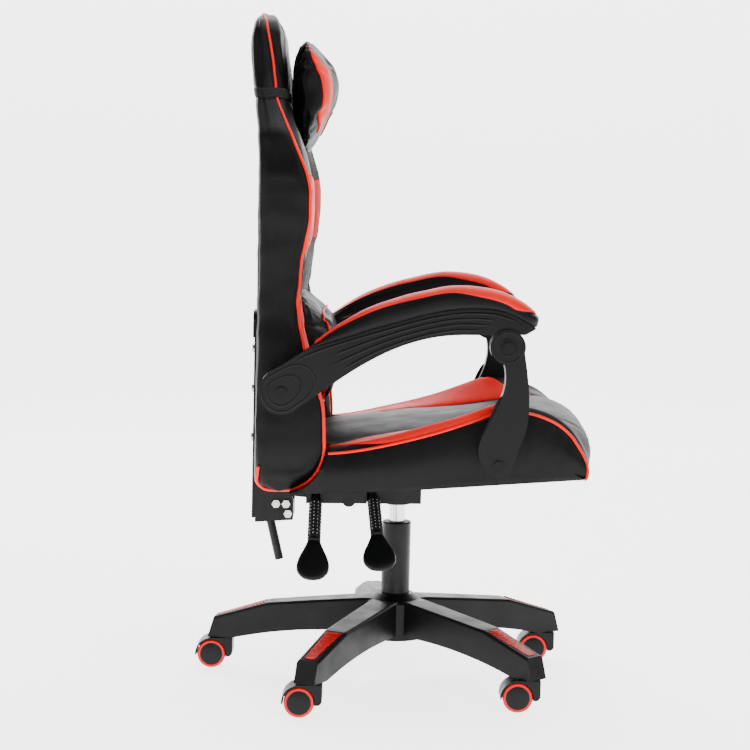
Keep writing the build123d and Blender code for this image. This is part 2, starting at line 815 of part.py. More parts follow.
def make_lever(name, finger):
    """A sprung lever: hinge bar, arm, braided sleeve, and a finger on the valve if asked."""
    x = lever_x[name]
    slope, splay = (radians(angle) for angle in lever_angles[name])
    axis_point = Vector(x, -lever_axis_y, lever_axis_z)
    level = Vector(0, -cos(slope), -sin(slope))
    down = level * cos(splay) + Vector(sin(splay), 0, 0)
    across = Vector(cos(splay), 0, 0) - level * sin(splay)
    arm_plane = Plane(origin=axis_point, x_dir=across, z_dir=down)
    bar_end = lever_rib_reach + lever_rib_thickness
    with BuildPart() as stem:
        with BuildSketch(Plane(origin=axis_point - Vector(bar_end, 0, 0), z_dir=(1, 0, 0))):
            Circle(lever_rod_radius)
        extrude(amount=2 * bar_end)
        with BuildSketch(arm_plane):
            Circle(lever_rod_radius)
        extrude(amount=lever_rod_reach + sleeve_length)
        with BuildSketch(arm_plane.offset(lever_rod_reach)):
            Circle(sleeve_radius)
        extrude(amount=sleeve_length)
        if finger:
            # runs on from the bar to the middle, then over the valve button
            tip = Vector(0, 0, valve_top + lever_rod_radius + finger_gap)
            knee = axis_point - Vector(x, 0, 0)
            with BuildSketch(Plane(origin=axis_point + Vector(bar_end, 0, 0), z_dir=(1, 0, 0))):
                Circle(lever_rod_radius)
            extrude(amount=-x - bar_end + lever_rod_radius)
            run = tip - knee
            with BuildSketch(Plane(origin=knee, x_dir=(1, 0, 0), z_dir=run)):
                Circle(lever_rod_radius)
            extrude(amount=run.length)
            with Locations(tip):
                Sphere(lever_rod_radius)
    save(stem, f"{name}_lever_stem")

    paddle_plane = Plane(
        origin=axis_point + down * (lever_rod_reach + sleeve_length),
        x_dir=across,
        z_dir=Vector(0, -sin(slope), cos(slope)),
    )
    belly_drop = paddle_belly - paddle_length
    with BuildPart() as paddle:
        # drawn with its length along the plane's -Y, away from the sleeve
        with BuildSketch(paddle_plane.offset(-paddle_thickness / 2)):
            with BuildLine():
                neck = Line((sleeve_radius, 0), (-sleeve_radius, 0))
                Spline(
                    neck @ 1,
                    (-paddle_shoulder, -paddle_shoulder_drop),
                    (-paddle_half_width, belly_drop),
                    (0, -paddle_length),
                    (paddle_half_width, belly_drop),
                    (paddle_shoulder, -paddle_shoulder_drop),
                    neck @ 0,
                    tangents=((-0.35, -1), (-0.35, 1)),
                )
            make_face()
        extrude(amount=paddle_thickness)
    save(paddle, f"{name}_lever_paddle")


make_lever("height", finger=True)
make_lever("recline", finger=False)

# ---------------------------------------------------------------- seat

with BuildPart() as seat_pan:
    with BuildSketch(RIGHT):
        Polygon(
            (pan_rear, seat_z(pan_rear)),
            (pan_front, seat_z(pan_front)),
            (pan_front, seat_z(pan_front, pan_thickness)),
            (pan_rear, seat_z(pan_rear, pan_thickness)),
            align=None,
        )
    extrude(amount=pan_half_width, both=True)
    # upright ears that carry the front supports
    for side in (1, -1):
        with BuildSketch(side_plane(side * pan_half_width)):
            Polygon(
                (support_foot.X - ear_radius, seat_z(support_foot.X - ear_radius)),
                (support_foot.X + ear_radius, seat_z(support_foot.X + ear_radius)),
                (support_foot.X + ear_radius, support_foot.Z),
                (support_foot.X - ear_radius, support_foot.Z),
                align=None,
            )
            with Locations((support_foot.X, support_foot.Z)):
                Circle(ear_radius)
            with Locations((support_foot.X, support_foot.Z)):
                Circle(arm_bolt_radius, mode=Mode.SUBTRACT)
        extrude(amount=-side * ear_thickness)
    with BuildSketch(seat_plane) as lightening:
        with Locations(((pan_rear + pan_front) / 2 + lightening_shift, 0)):
            with GridLocations(3 * lightening_hole_radius, 3 * lightening_hole_radius, 2, 3):
                Circle(lightening_hole_radius)
    extrude(lightening.sketch, amount=2 * pan_thickness, mode=Mode.SUBTRACT)
    with BuildSketch(seat_plane):
        for x in mech_bolt_x:
            with Locations((x, -mech_half_width - mech_flange / 2)):
                Circle(bolt_radius)
            with Locations((x, mech_half_width + mech_flange / 2)):
                Circle(bolt_radius)
    extrude(amount=2 * pan_thickness, mode=Mode.SUBTRACT)
save(seat_pan, "seat_pan")

pad_floor = pan_thickness + soft_gap
with BuildPart() as seat_pad:
    with BuildSketch(RIGHT):
        with BuildLine():
            crown = Spline(
                (seat_rear, seat_z(seat_rear, pad_rear_height)),
                *seat_points(pad_crown),
                (seat_front, seat_z(seat_front, pad_front_height)),
                tangents=((1, 0.1), (0, -1)),
            )
            skirt = (seat_front - skirt_slant, seat_z(seat_front, pad_skirt_height))
            Polyline(
                crown @ 1,
                skirt,
                (pan_front, seat_z(pan_front, pad_floor)),
                (seat_rear, seat_z(seat_rear, pad_floor)),
                crown @ 0,
            )
        make_face()
    extrude(amount=seat_pad_half_width, both=True)
    # the corners between the back's lobes and the pad
    for side in (1, -1):
        with BuildSketch(side_plane(side * back_pad_half_width)):
            with Locations((wing_foot.X, wing_foot.Z)):
                Circle(wing_foot_radius + swing_gap)
        extrude(amount=side * seat_pad_half_width, mode=Mode.SUBTRACT)
save(seat_pad, "seat_pad")

bolster_rear = seat_rear + bolster_inset
with BuildPart() as right_bolster:
    with BuildSketch(side_plane(seat_pad_half_width + soft_gap)):
        with BuildLine():
            ridge = Spline(
                (bolster_rear, seat_z(bolster_rear, bolster_rear_height)),
                *seat_points(bolster_ridge),
                (seat_side_front, seat_z(seat_side_front, bolster_front_height)),
                tangents=((1, 0.1), (0.1, -1)),
            )
            skirt_x = seat_side_front - side_skirt_slant
            Polyline(
                ridge @ 1,
                (skirt_x, seat_z(skirt_x, bolster_skirt_height)),
                (bolster_rear, seat_z(bolster_rear, pan_thickness)),
                ridge @ 0,
            )
        make_face()
        # the back's lobe swings in this hollow
        with Locations((wing_foot.X, wing_foot.Z)):
            Circle(wing_foot_radius + swing_gap, mode=Mode.SUBTRACT)
    extrude(amount=seat_half_width - seat_pad_half_width - soft_gap)
    outer_edges = right_bolster.edges().filter_by(
        lambda e: abs(e.center().Y + seat_half_width) < 0.1 and e.geom_type == GeomType.BSPLINE
    )
    fillet(outer_edges.sort_by(SortBy.LENGTH)[-1], bolster_edge_radius)
    # room for the pan, its ear and the support's bolt
    with BuildSketch(RIGHT):
        Polygon(
            (seat_rear, seat_z(seat_rear, -pan_room)),
            (pan_front + soft_gap, seat_z(pan_front + soft_gap, -pan_room)),
            (pan_front + soft_gap, seat_z(pan_front + soft_gap, pad_floor)),
            (seat_rear, seat_z(seat_rear, pad_floor)),
            align=None,
        )
    extrude(amount=pan_half_width + soft_gap, mode=Mode.SUBTRACT)
    with BuildSketch(side_plane(pan_half_width - ear_thickness - soft_gap)):
        with Locations((support_foot.X, support_foot.Z)):
            Circle(ear_radius + soft_gap)
            Rectangle(
                2 * ear_radius + 2 * soft_gap,
                support_foot_rise + pan_room,
                align=(Align.CENTER, Align.MAX),
            )
    extrude(amount=ear_thickness + 2 * soft_gap, mode=Mode.SUBTRACT)
    with BuildSketch(side_plane(pan_half_width - 2 * ear_thickness)):
        with Locations((support_foot.X, support_foot.Z)):
            Circle(arm_bolt_radius + soft_gap)
    extrude(amount=seat_half_width, mode=Mode.SUBTRACT)

with BuildPart() as seat_bolsters:
    add(right_bolster.part)
    mirror(right_bolster.part, about=RIGHT)
save(seat_bolsters, "seat_bolsters")

# ---------------------------------------------------------------- backrest upholstery

back_bottom = seat_plane_height + back_foot_rise
back_top = seat_plane_height + back_rise
lumbar_bottom = seat_plane_height + lumbar_rise
lumbar_top = lumbar_bottom + lumbar_height
front_points = [(back_rear + ahead, seat_plane_height + rise) for ahead, rise in back_front_line]
back_edge = [(inset - seat_half_width, seat_plane_height + rise) for inset, rise in back_edge_line]
neck_x, neck_z = front_points[-3]       # the face and the wings meet here
foot_drop = sqrt(wing_foot_radius**2 - (back_rear - wing_foot.X) ** 2)
foot_left = (back_rear, wing_foot.Z - foot_drop)
foot_front = (wing_foot.X + wing_foot_radius, wing_foot.Z)
foot_low = (wing_foot.X + wing_foot_radius / 4, wing_foot.Z - wing_foot_radius * sqrt(15) / 4)
foot_brow = (foot_front[0], wing_foot.Z + wing_foot_radius / 6)
crest_rear = (back_rear - back_crest_lean, back_top - back_crest_lean)
nape = (back_rear, seat_plane_height + back_nape_rise)
outside = 300.0             # cutting sketches and planes reach past the back by this

with BuildLine() as back_side:      # the whole back from the side, as X and Z
    ThreePointArc(foot_left, foot_low, foot_front)
    Line(foot_front, foot_brow)
    Spline(foot_brow, *front_points, tangents=((0, 1), (-0.4, 1)))
    Spline(
        front_points[-1],
        (back_rear + back_crest_lean / 4, back_top),
        (back_rear - back_crest_lean / 2, back_top),
        crest_rear,
        tangents=((-0.4, 1), (0.1, -1)),
    )
    Spline(
        crest_rear,
        (back_rear - 0.45 * back_crest_lean, 0.4 * nape[1] + 0.6 * crest_rear[1]),
        nape,
        tangents=((0.1, -1), (0, -1)),
    )
    Line(nape, foot_left)


def half_front(inner):
    """Front outline of the right half of the back, from inner outwards."""
    with BuildLine() as line:
        Polyline((inner, back_edge[-1][1]), (inner, back_edge[0][1]), back_edge[0])
        Spline(*back_edge)
        Line(back_edge[-1], (inner, back_edge[-1][1]))
    return line.line


wing_inner = back_pad_half_width + flange_thickness + 2 * soft_gap
frame_x = back_rear + back_frame_inset
back_frame_top = seat_plane_height + back_frame_rise
bar_bottom = hinge.Z - bracket_depth + bar_lift
bar_top = bar_bottom + bar_length
bar_bolt_heights = [bar_bottom + rise for rise in bar_bolt_rises]
flange_front = arm_pivot.X + 4 * arm_bolt_radius

right_half = half_front(0)
with BuildPart() as back_pad:
    with BuildSketch(side_plane(-back_pad_half_width)):
        add(back_side.line)
        make_face()
    extrude(amount=2 * back_pad_half_width)
    # the face between the wings lies deeper, and the foot is cut off level
    with BuildSketch(RIGHT):
        with BuildLine():
            waist = Line((back_recess_front, back_bottom), (back_recess_front, lumbar_top))
            hollow = Spline(
                waist @ 1,
                (back_recess_front - back_hollow, (lumbar_top + neck_z) / 2),
                (neck_x, neck_z),
                tangents=((0, 1), (0, 1)),
            )
            Polyline(
                hollow @ 1,
                (0, neck_z),
                (0, back_bottom - outside),
                (-2 * outside, back_bottom - outside),
                (-2 * outside, back_bottom),
                waist @ 0,
            )
        make_face()
    extrude(amount=back_pad_half_width, both=True, mode=Mode.SUBTRACT)
    with BuildSketch(Plane.YZ.offset(back_rear - outside)):
        add(right_half)
        make_face()
        mirror(about=Plane.YZ)
    extrude(amount=2 * outside, mode=Mode.INTERSECT)
    # slot for the frame, open at the foot
    with BuildSketch(Plane.XY.offset(back_bottom)):
        with Locations((frame_x + back_frame_thickness / 2, 0)):
            Rectangle(back_frame_thickness + 2 * soft_gap, 4 * back_pad_half_width)
    extrude(amount=back_frame_top + soft_gap - back_bottom, mode=Mode.SUBTRACT)
    # holes for the bolts of the back bar
    with BuildSketch(Plane.YZ.offset(back_rear)):
        for height in bar_bolt_heights:
            with Locations((0, height)):
                Circle(bolt_radius + soft_gap)
    extrude(amount=2 * back_frame_inset + back_frame_thickness, mode=Mode.SUBTRACT)
save(back_pad, "back_pad")

with BuildPart() as right_wing:
    with BuildSketch(side_plane(wing_inner)):
        add(back_side.line)
        make_face()
    extrude(amount=seat_half_width)
    with BuildSketch(Plane.YZ.offset(back_rear - outside)):
        add(half_front(-wing_inner))
        make_face()
    extrude(amount=2 * outside, mode=Mode.INTERSECT)
    # the inner face leans outwards, away from the sitter
    with BuildSketch(Plane.XY.offset(back_bottom - outside)):
        Polygon(
            (back_recess_front, -wing_inner),
            (0, -wing_inner),
            (0, -wing_inner + back_recess_front * tan(radians(wing_lean))),
            align=None,
        )
    extrude(amount=back_top - back_bottom + outside, mode=Mode.SUBTRACT)
    # room for the frame's flange and the armrest's bolt
    with BuildSketch(side_plane(back_pad_half_width)):
        with Locations((frame_x - soft_gap, arm_pivot.Z)):
            Rectangle(
                flange_front - frame_x + 2 * soft_gap,
                2 * flange_half_height + 2 * soft_gap,
                align=(Align.MIN, Align.CENTER),
            )
    extrude(amount=wing_inner - back_pad_half_width + 3 * flange_thickness, mode=Mode.SUBTRACT)
    with BuildSketch(side_plane(back_pad_half_width)):
        with Locations((arm_pivot.X, arm_pivot.Z)):
            Circle(arm_bolt_radius + soft_gap)
    extrude(amount=seat_half_width, mode=Mode.SUBTRACT)

with BuildPart() as back_wings:
    add(right_wing.part)
    mirror(right_wing.part, about=RIGHT)
save(back_wings, "back_wings")

# ---------------------------------------------------------------- back frame, bar and bracket

frame_half_width = back_pad_half_width + soft_gap + flange_thickness
with BuildPart() as back_frame:
    with BuildSketch(Plane.YZ.offset(frame_x)):
        with Locations((0, back_bottom)):
            Rectangle(
                2 * (back_pad_half_width - back_frame_margin),
                back_frame_top - back_bottom,
                align=(Align.CENTER, Align.MIN),
            )
        with Locations((0, arm_pivot.Z)):
            Rectangle(2 * frame_half_width, 2 * flange_half_height)
        with Locations((0, (back_bottom + back_frame_top) / 2)):
            with GridLocations(2.5 * lightening_hole_radius, 2.9 * lightening_hole_radius, 2, 5):
                Circle(lightening_hole_radius, mode=Mode.SUBTRACT)
        for height in bar_bolt_heights:
            with Locations((0, height)):
                Circle(bolt_radius, mode=Mode.SUBTRACT)
    extrude(amount=back_frame_thickness)
    for side in (1, -1):
        with BuildSketch(side_plane(side * frame_half_width)):
            with Locations((frame_x, arm_pivot.Z)):
                Rectangle(
                    flange_front - frame_x,
                    2 * flange_half_height,
                    align=(Align.MIN, Align.CENTER),
                )
            with Locations((arm_pivot.X, arm_pivot.Z)):
                Circle(arm_bolt_radius, mode=Mode.SUBTRACT)
        extrude(amount=-side * flange_thickness)
save(back_frame, "back_frame")

bracket_rear = hinge.X - bracket_set_back
bracket_front = hinge.X + bracket_reach
bracket_bottom = hinge.Z - bracket_depth
bracket_top = hinge.Z + bracket_height
bracket_bolt_places = [(hinge.X + ahead, hinge.Z + up) for ahead, up in bracket_bolt_offsets]
bracket_inner = hinge_ear_inner + hinge_ear_thickness + seat_gap
bracket_outer = bracket_inner + bracket_wall
bar_rear = bracket_rear - bar_thickness

with BuildPart() as back_bracket:
    for side in (1, -1):
        with BuildSketch(side_plane(side * bracket_inner)):
            Polygon(
                (bracket_rear, bracket_top),
                (bracket_rear, bracket_bottom),
                (bracket_front, bracket_bottom + bracket_slant),
                (bracket_front, hinge.Z - bracket_height),
                (hinge.X + hinge_eye_radius, hinge.Z),
                (hinge.X, hinge.Z + hinge_eye_radius),
                ((hinge.X + bracket_rear) / 2, bracket_top),
                align=None,
            )
            with Locations((hinge.X, hinge.Z)):
                Circle(hinge_eye_radius)
                Circle(hinge_pin_radius + running_fit, mode=Mode.SUBTRACT)
            with Locations(*bracket_bolt_places):
                Circle(bolt_radius, mode=Mode.SUBTRACT)
        extrude(amount=side * bracket_wall)
    with BuildSketch(side_plane(0)):
        with Locations((bracket_rear, bracket_bottom)):
            Rectangle(
                bracket_wall,
                bracket_top - bracket_bottom,
                align=(Align.MIN, Align.MIN),
            )
    extrude(amount=bracket_outer, both=True)
save(back_bracket, "back_bracket")

with BuildPart() as back_bar:
    with BuildSketch(Plane.YZ.offset(bar_rear)):
        with Locations((0, bar_bottom)):
            Rectangle(bar_width, bar_top - bar_bottom, align=(Align.CENTER, Align.MIN))
        for height in bar_bolt_heights:
            with Locations((0, height)):
                Circle(bolt_radius, mode=Mode.SUBTRACT)
    extrude(amount=bar_thickness)
    fillet(back_bar.edges().filter_by(Axis.X).group_by(Axis.Z)[-1], bar_corner_radius)
save(back_bar, "back_bar")

with BuildPart() as bar_cap:
    with BuildSketch(Plane.YZ.offset(bar_rear - bar_cap_wall)):
        with Locations((0, bar_top + bar_cap_wall)):
            Rectangle(
                bar_width + 2 * bar_cap_wall,
                bar_cap_height,
                align=(Align.CENTER, Align.MAX),
            )
    extrude(amount=bar_thickness + 2 * bar_cap_wall)
    cap_corners = bar_cap.edges().filter_by(Axis.X).group_by(Axis.Z)[-1]
    fillet(cap_corners, bar_corner_radius + bar_cap_wall)
    add(back_bar.part, mode=Mode.SUBTRACT)
save(bar_cap, "bar_cap")

# Hex bolts: through the bar into the frame, with a collar as spacer, and through the
# bracket's cheeks into the yoke.
bar_bolt_end = frame_x + back_frame_thickness
with BuildPart() as back_bolts:
    for height in bar_bolt_heights:
        with BuildSketch(Plane.YZ.offset(bar_rear - bolt_head_height)):
            with Locations((0, height)):
                RegularPolygon(bolt_head_radius, 6)
        extrude(amount=bolt_head_height)
        with BuildSketch(Plane.YZ.offset(bar_rear)):
            with Locations((0, height)):
                Circle(bolt_radius)
        extrude(amount=bar_bolt_end - bar_rear)
        with BuildSketch(Plane.YZ.offset(bracket_rear)):
            with Locations((0, height)):
                Circle(bolt_head_radius)
        extrude(amount=back_rear - soft_gap - bracket_rear)
    for side in (1, -1):
        with BuildSketch(side_plane(side * bracket_outer)):
            with Locations(*bracket_bolt_places):
                RegularPolygon(bolt_head_radius, 6)
        extrude(amount=side * bolt_head_height)
        with BuildSketch(side_plane(side * bracket_outer)):
            with Locations(*bracket_bolt_places):
                Circle(bolt_radius)
        extrude(amount=-side * (bracket_outer - yoke_half_width / 2))
save(back_bolts, "back_bolts")

yoke_rear = bracket_rear + bracket_wall
yoke_front = bracket_front - seat_gap
yoke_top = bracket_bolt_places[0][1] + 1.5 * bolt_radius
yoke_bottom = bracket_bottom + bracket_slant / 2
tail_plane = Plane(
    origin=(yoke_rear + 2.5 * tail_radius, 0, yoke_bottom + tail_radius / 2),
    z_dir=(sin(radians(tail_lean)), 0, -cos(radians(tail_lean))),
)
with BuildPart() as tail_yoke:
    with BuildSketch(side_plane(0)):
        Polygon(
            (yoke_rear, yoke_bottom),
            (yoke_front, yoke_bottom + bracket_slant),
            (yoke_front, yoke_top - yoke_chamfer),
            (yoke_front - yoke_chamfer, yoke_top),
            (yoke_rear, yoke_top),
            align=None,
        )
    extrude(amount=bracket_inner, both=True)
    with BuildSketch(tail_plane):
        Circle(tail_radius)
    extrude(amount=tail_drop)
    for side in (1, -1):
        with BuildSketch(side_plane(side * bracket_inner)):
            with Locations(*bracket_bolt_places):
                Circle(bolt_radius)
        extrude(amount=-side * (bracket_inner - yoke_half_width / 2), mode=Mode.SUBTRACT)
save(tail_yoke, "tail_yoke")

# ---------------------------------------------------------------- armrests

arm_inner_face = seat_half_width + arm_gap
arm_outer_face = arm_inner_face + carrier_width
arm_middle = arm_inner_face + carrier_width / 2


def around(pivot, line):
    """Outline points from their places ahead of and above a pivot."""
    return [(pivot.X + ahead, pivot.Z + up) for ahead, up in line]


(tail,) = around(arm_pivot, (pad_tail,))
(nose,) = around(front_pivot, (pad_nose,))
with BuildLine() as seam:
    Spline(tail, *around(arm_pivot, seam_rear), *around(front_pivot, seam_front), nose)


def make_arm(name, side):
    """Armrest of one side: carrier, upholstered pad and front pivot bolt."""
    with BuildPart() as carrier:
        with BuildSketch(side_plane(side * arm_inner_face)):
            with BuildLine():
                add(seam.line)
                shoulder = arm_eye_radius / sqrt(2)
                under = Spline(
                    *around(front_pivot, under_front),
                    *around(arm_pivot, under_rear),
                    (arm_pivot.X + shoulder, arm_pivot.Z - shoulder),
                )
                Line(nose, under @ 0)
                Polyline(
                    under @ 1,
                    (arm_pivot.X - shoulder, arm_pivot.Z + shoulder),
                    tail,
                )
            make_face()
            with Locations((arm_pivot.X, arm_pivot.Z)):
                Circle(arm_eye_radius)
        extrude(amount=side * carrier_width)
        # the fork of the front support turns in this hollow
        with BuildSketch(side_plane(side * (arm_inner_face - cut_reach))):
            with Locations((front_pivot.X, front_pivot.Z)):
                Circle(cheek_radius + 4 * seat_gap)
        extrude(amount=side * (carrier_width + 2 * cut_reach), mode=Mode.SUBTRACT)
        with BuildSketch(side_plane(side * (arm_middle - lug_thickness / 2))):
            with Locations((front_pivot.X, front_pivot.Z)):
                Circle(lug_radius)
                Rectangle(
                    lug_neck_width,
                    cheek_radius + lug_neck_root,
                    align=(Align.CENTER, Align.MIN),
                )
        extrude(amount=side * lug_thickness)
        with BuildSketch(side_plane(side * (arm_inner_face - cut_reach))):
            with Locations((front_pivot.X, front_pivot.Z)):
                Circle(arm_bolt_radius)
            with Locations((arm_pivot.X, arm_pivot.Z)):
                Circle(arm_bolt_radius + running_fit)
        extrude(amount=side * (carrier_width + 2 * cut_reach), mode=Mode.SUBTRACT)
    save(carrier, f"arm_carrier_{name}")

    with BuildPart() as pad:
        with BuildSketch(side_plane(side * (arm_inner_face - arm_pad_overhang))):
            with BuildLine():
                add(seam.line)
                top = Spline(
                    tail,
                    *around(arm_pivot, pad_top_rear),
                    *around(front_pivot, pad_top_front),
                )
                Line(top @ 1, nose)
            make_face()
        extrude(amount=side * arm_pad_width)
    save(pad, f"arm_pad_{name}")

    with BuildPart() as bolt:
        with BuildSketch(side_plane(side * arm_inner_face)):
            with Locations((front_pivot.X, front_pivot.Z)):
                Circle(arm_bolt_radius)
        extrude(amount=side * (carrier_width + cheek_proud + seat_gap))
        with BuildSketch(side_plane(side * (arm_outer_face + cheek_proud + seat_gap))):
            with Locations((front_pivot.X, front_pivot.Z)):
                Circle(arm_cap_radius)
        extrude(amount=side * arm_cap_height)
    save(bolt, f"front_pivot_bolt_{name}")


def make_support(name, side):
    """Front support of one side: a leaf-shaped leg with a fork at its top."""
    with BuildPart() as support:
        with BuildSketch(side_plane(side * arm_inner_face)):
            with BuildLine():
                edge = Spline(
                    *around(front_pivot, support_crown),
                    *around(support_foot, support_toe),
                    *around(front_pivot, support_nape),
                )
                Line(edge @ 1, edge @ 0)
            make_face()
            with Locations((front_pivot.X, front_pivot.Z)):
                Circle(cheek_radius)
        extrude(amount=side * (carrier_width + cheek_proud))
        with BuildSketch(side_plane(side * (arm_middle - lug_thickness / 2 - seat_gap))):
            with Locations((front_pivot.X, front_pivot.Z)):
                Circle(lug_radius + seat_gap)
                Rectangle(
                    4 * cheek_radius,
                    2 * cheek_radius,
                    align=(Align.CENTER, Align.MIN),
                )
        extrude(amount=side * (lug_thickness + 2 * seat_gap), mode=Mode.SUBTRACT)
        with BuildSketch(side_plane(side * (arm_inner_face - cut_reach))):
            with Locations((front_pivot.X, front_pivot.Z), (support_foot.X, support_foot.Z)):
                Circle(arm_bolt_radius + running_fit)
        through = carrier_width + cheek_proud + 2 * cut_reach
        extrude(amount=side * through, mode=Mode.SUBTRACT)
    save(support, f"arm_support_{name}")


for name, side in (("right", 1), ("left", -1)):
    make_arm(name, side)
    make_support(name, side)

# shoulder bolts that the armrests and the supports turn on
with BuildPart() as rear_pivot_bolts:
    for side in (1, -1):
        with BuildSketch(side_plane(side * (frame_half_width - flange_thickness))):
            with Locations((arm_pivot.X, arm_pivot.Z)):
                Circle(arm_bolt_radius)
        extrude(amount=side * (arm_outer_face + seat_gap - frame_half_width + flange_thickness))
        with BuildSketch(side_plane(side * (arm_outer_face + seat_gap))):
            with Locations((arm_pivot.X, arm_pivot.Z)):
                Circle(arm_cap_radius)
        extrude(amount=side * arm_cap_height)
save(rear_pivot_bolts, "rear_pivot_bolts")

support_outer = arm_outer_face + cheek_proud + seat_gap
with BuildPart() as support_pivot_bolts:
    for side in (1, -1):
        with BuildSketch(side_plane(side * (pan_half_width - ear_thickness))):
            with Locations((support_foot.X, support_foot.Z)):
                Circle(arm_bolt_radius)
        extrude(amount=side * (support_outer - pan_half_width + ear_thickness))
        with BuildSketch(side_plane(side * support_outer)):
            with Locations((support_foot.X, support_foot.Z)):
                Circle(arm_cap_radius)
        extrude(amount=side * arm_cap_height)
save(support_pivot_bolts, "support_pivot_bolts")

# ---------------------------------------------------------------- pillows

head_pillow_width = 2 * back_pad_half_width
head_pillow_top = back_top - head_pillow_drop
head_pillow_bottom = head_pillow_top - head_pillow_height
strap_height = head_pillow_top - strap_drop
head_pillow_front = neck_x + head_pillow_depth
pillow_seam_x = neck_x + head_pillow_depth / 4
with BuildPart() as head_pillow:
    with BuildSketch(RIGHT):
        with BuildLine():
            rear = ThreePointArc(
                (pillow_seam_x, head_pillow_top),
                (neck_x + soft_gap, strap_height - strap_width / 2),
                (pillow_seam_x + head_pillow_depth / 10, head_pillow_bottom),
            )
            Spline(
                rear @ 1,
                (neck_x + 0.8 * head_pillow_depth, head_pillow_bottom + 0.28 * head_pillow_height),
                (head_pillow_front, head_pillow_bottom + 0.61 * head_pillow_height),
                (neck_x + 0.8 * head_pillow_depth, head_pillow_bottom + 0.86 * head_pillow_height),
                rear @ 0,
            )
        make_face()
    extrude(amount=head_pillow_width / 2, both=True)
    with BuildSketch(Plane.YZ.offset(back_rear)):
        with Locations((0, (head_pillow_bottom + head_pillow_top) / 2)):
            RectangleRounded(head_pillow_width, head_pillow_height, head_pillow_corner)
    extrude(amount=outside, mode=Mode.INTERSECT)
save(head_pillow, "head_pillow")

strap_side = seat_half_width - strap_inset
strap_rear = back_rear - strap_rear_gap
strap_hook = (pillow_seam_x - strap_bend_radius / 2, head_pillow_width / 2 + strap_thickness)
with BuildPart() as head_strap:
    with BuildSketch(Plane.XY.offset(strap_height - strap_width / 2)):
        with BuildLine() as band:
            FilletPolyline(
                (strap_hook[0], -strap_hook[1]),
                (neck_x, -strap_side),
                (strap_rear, -strap_side),
                (strap_rear, strap_side),
                (neck_x, strap_side),
                strap_hook,
                radius=strap_bend_radius,
            )
        trace(band.line, line_width=strap_thickness)
    extrude(amount=strap_width)
save(head_strap, "head_strap")

lumbar_rear = back_recess_front + soft_gap
lumbar_width = 2 * (back_pad_half_width - lumbar_side_gap)
with BuildPart() as lumbar_pillow:
    with BuildSketch(RIGHT):
        with BuildLine():
            belly = Spline(
                (lumbar_rear, lumbar_bottom),
                (lumbar_rear + 0.75 * lumbar_depth, lumbar_bottom + 0.06 * lumbar_height),
                (lumbar_rear + lumbar_depth, lumbar_bottom + 0.46 * lumbar_height),
                (lumbar_rear + 0.65 * lumbar_depth, lumbar_bottom + 0.91 * lumbar_height),
                (lumbar_rear, lumbar_top),
                tangents=((1, 0), (-1, 0)),
            )
            Line(belly @ 1, belly @ 0)
        make_face()
    extrude(amount=lumbar_width / 2, both=True)
    with BuildSketch(Plane.YZ.offset(back_rear)):
        with Locations((0, (lumbar_bottom + lumbar_top) / 2)):
            RectangleRounded(lumbar_width, lumbar_height, lumbar_corner)
    extrude(amount=outside, mode=Mode.INTERSECT)
save(lumbar_pillow, "lumbar_pillow")
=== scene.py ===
import json
import math

import bmesh
import bpy
import numpy as np
from mathutils import Matrix, Vector, noise


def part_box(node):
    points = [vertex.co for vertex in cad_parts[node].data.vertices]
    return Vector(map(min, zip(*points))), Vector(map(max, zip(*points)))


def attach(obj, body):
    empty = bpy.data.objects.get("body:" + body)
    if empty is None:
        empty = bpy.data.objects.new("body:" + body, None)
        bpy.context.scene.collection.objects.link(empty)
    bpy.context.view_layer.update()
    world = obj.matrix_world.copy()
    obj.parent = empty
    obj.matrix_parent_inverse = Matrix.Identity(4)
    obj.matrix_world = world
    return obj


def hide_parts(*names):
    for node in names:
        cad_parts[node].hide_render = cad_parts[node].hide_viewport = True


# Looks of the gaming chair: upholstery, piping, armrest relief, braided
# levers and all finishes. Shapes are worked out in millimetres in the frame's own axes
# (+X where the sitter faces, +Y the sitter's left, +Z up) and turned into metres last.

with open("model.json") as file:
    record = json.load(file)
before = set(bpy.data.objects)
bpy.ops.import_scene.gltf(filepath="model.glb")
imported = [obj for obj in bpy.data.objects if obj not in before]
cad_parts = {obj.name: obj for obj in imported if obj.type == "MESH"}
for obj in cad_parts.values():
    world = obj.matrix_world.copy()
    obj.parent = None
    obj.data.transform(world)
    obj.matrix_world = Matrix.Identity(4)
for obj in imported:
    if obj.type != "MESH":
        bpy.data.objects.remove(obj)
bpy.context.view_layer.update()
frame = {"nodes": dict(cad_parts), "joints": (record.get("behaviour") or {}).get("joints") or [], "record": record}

MM = 0.001
BOTH_SIDES = (("right", -1), ("left", 1))


def span(node):
    """Lowest and highest corner of a CAD node, in millimetres."""
    low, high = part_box(node)
    return np.array(low) / MM, np.array(high) / MM


def pivot(joint):
    """Place of a joint's axis, in millimetres."""
    found = next(j for j in frame["joints"] if j["name"] == joint)
    return np.array(found["pos_m"]) / MM


# ---------------------------------------------------------------- camera and stage

CAMERA_PLACE = (-0.044, -3.470, 0.870)
CAMERA_LENS = 95.9
CAMERA_PITCH = math.radians(5.55)
CAMERA_ROLL = math.radians(-1.28)
LIT_MIDDLE = (0.0, 0.0, 0.6)
LIGHTS = (      # name, place, size and power
    ("key", (2.2, -2.6, 2.6), (1.6, 1.6), 62),
    ("fill", (-2.6, -2.2, 1.6), (1.4, 2.2), 22),
    ("top", (0.1, 0.2, 3.0), (2.6, 2.6), 70),
    ("rim", (-1.6, 2.2, 2.0), (1.2, 1.8), 26),
)


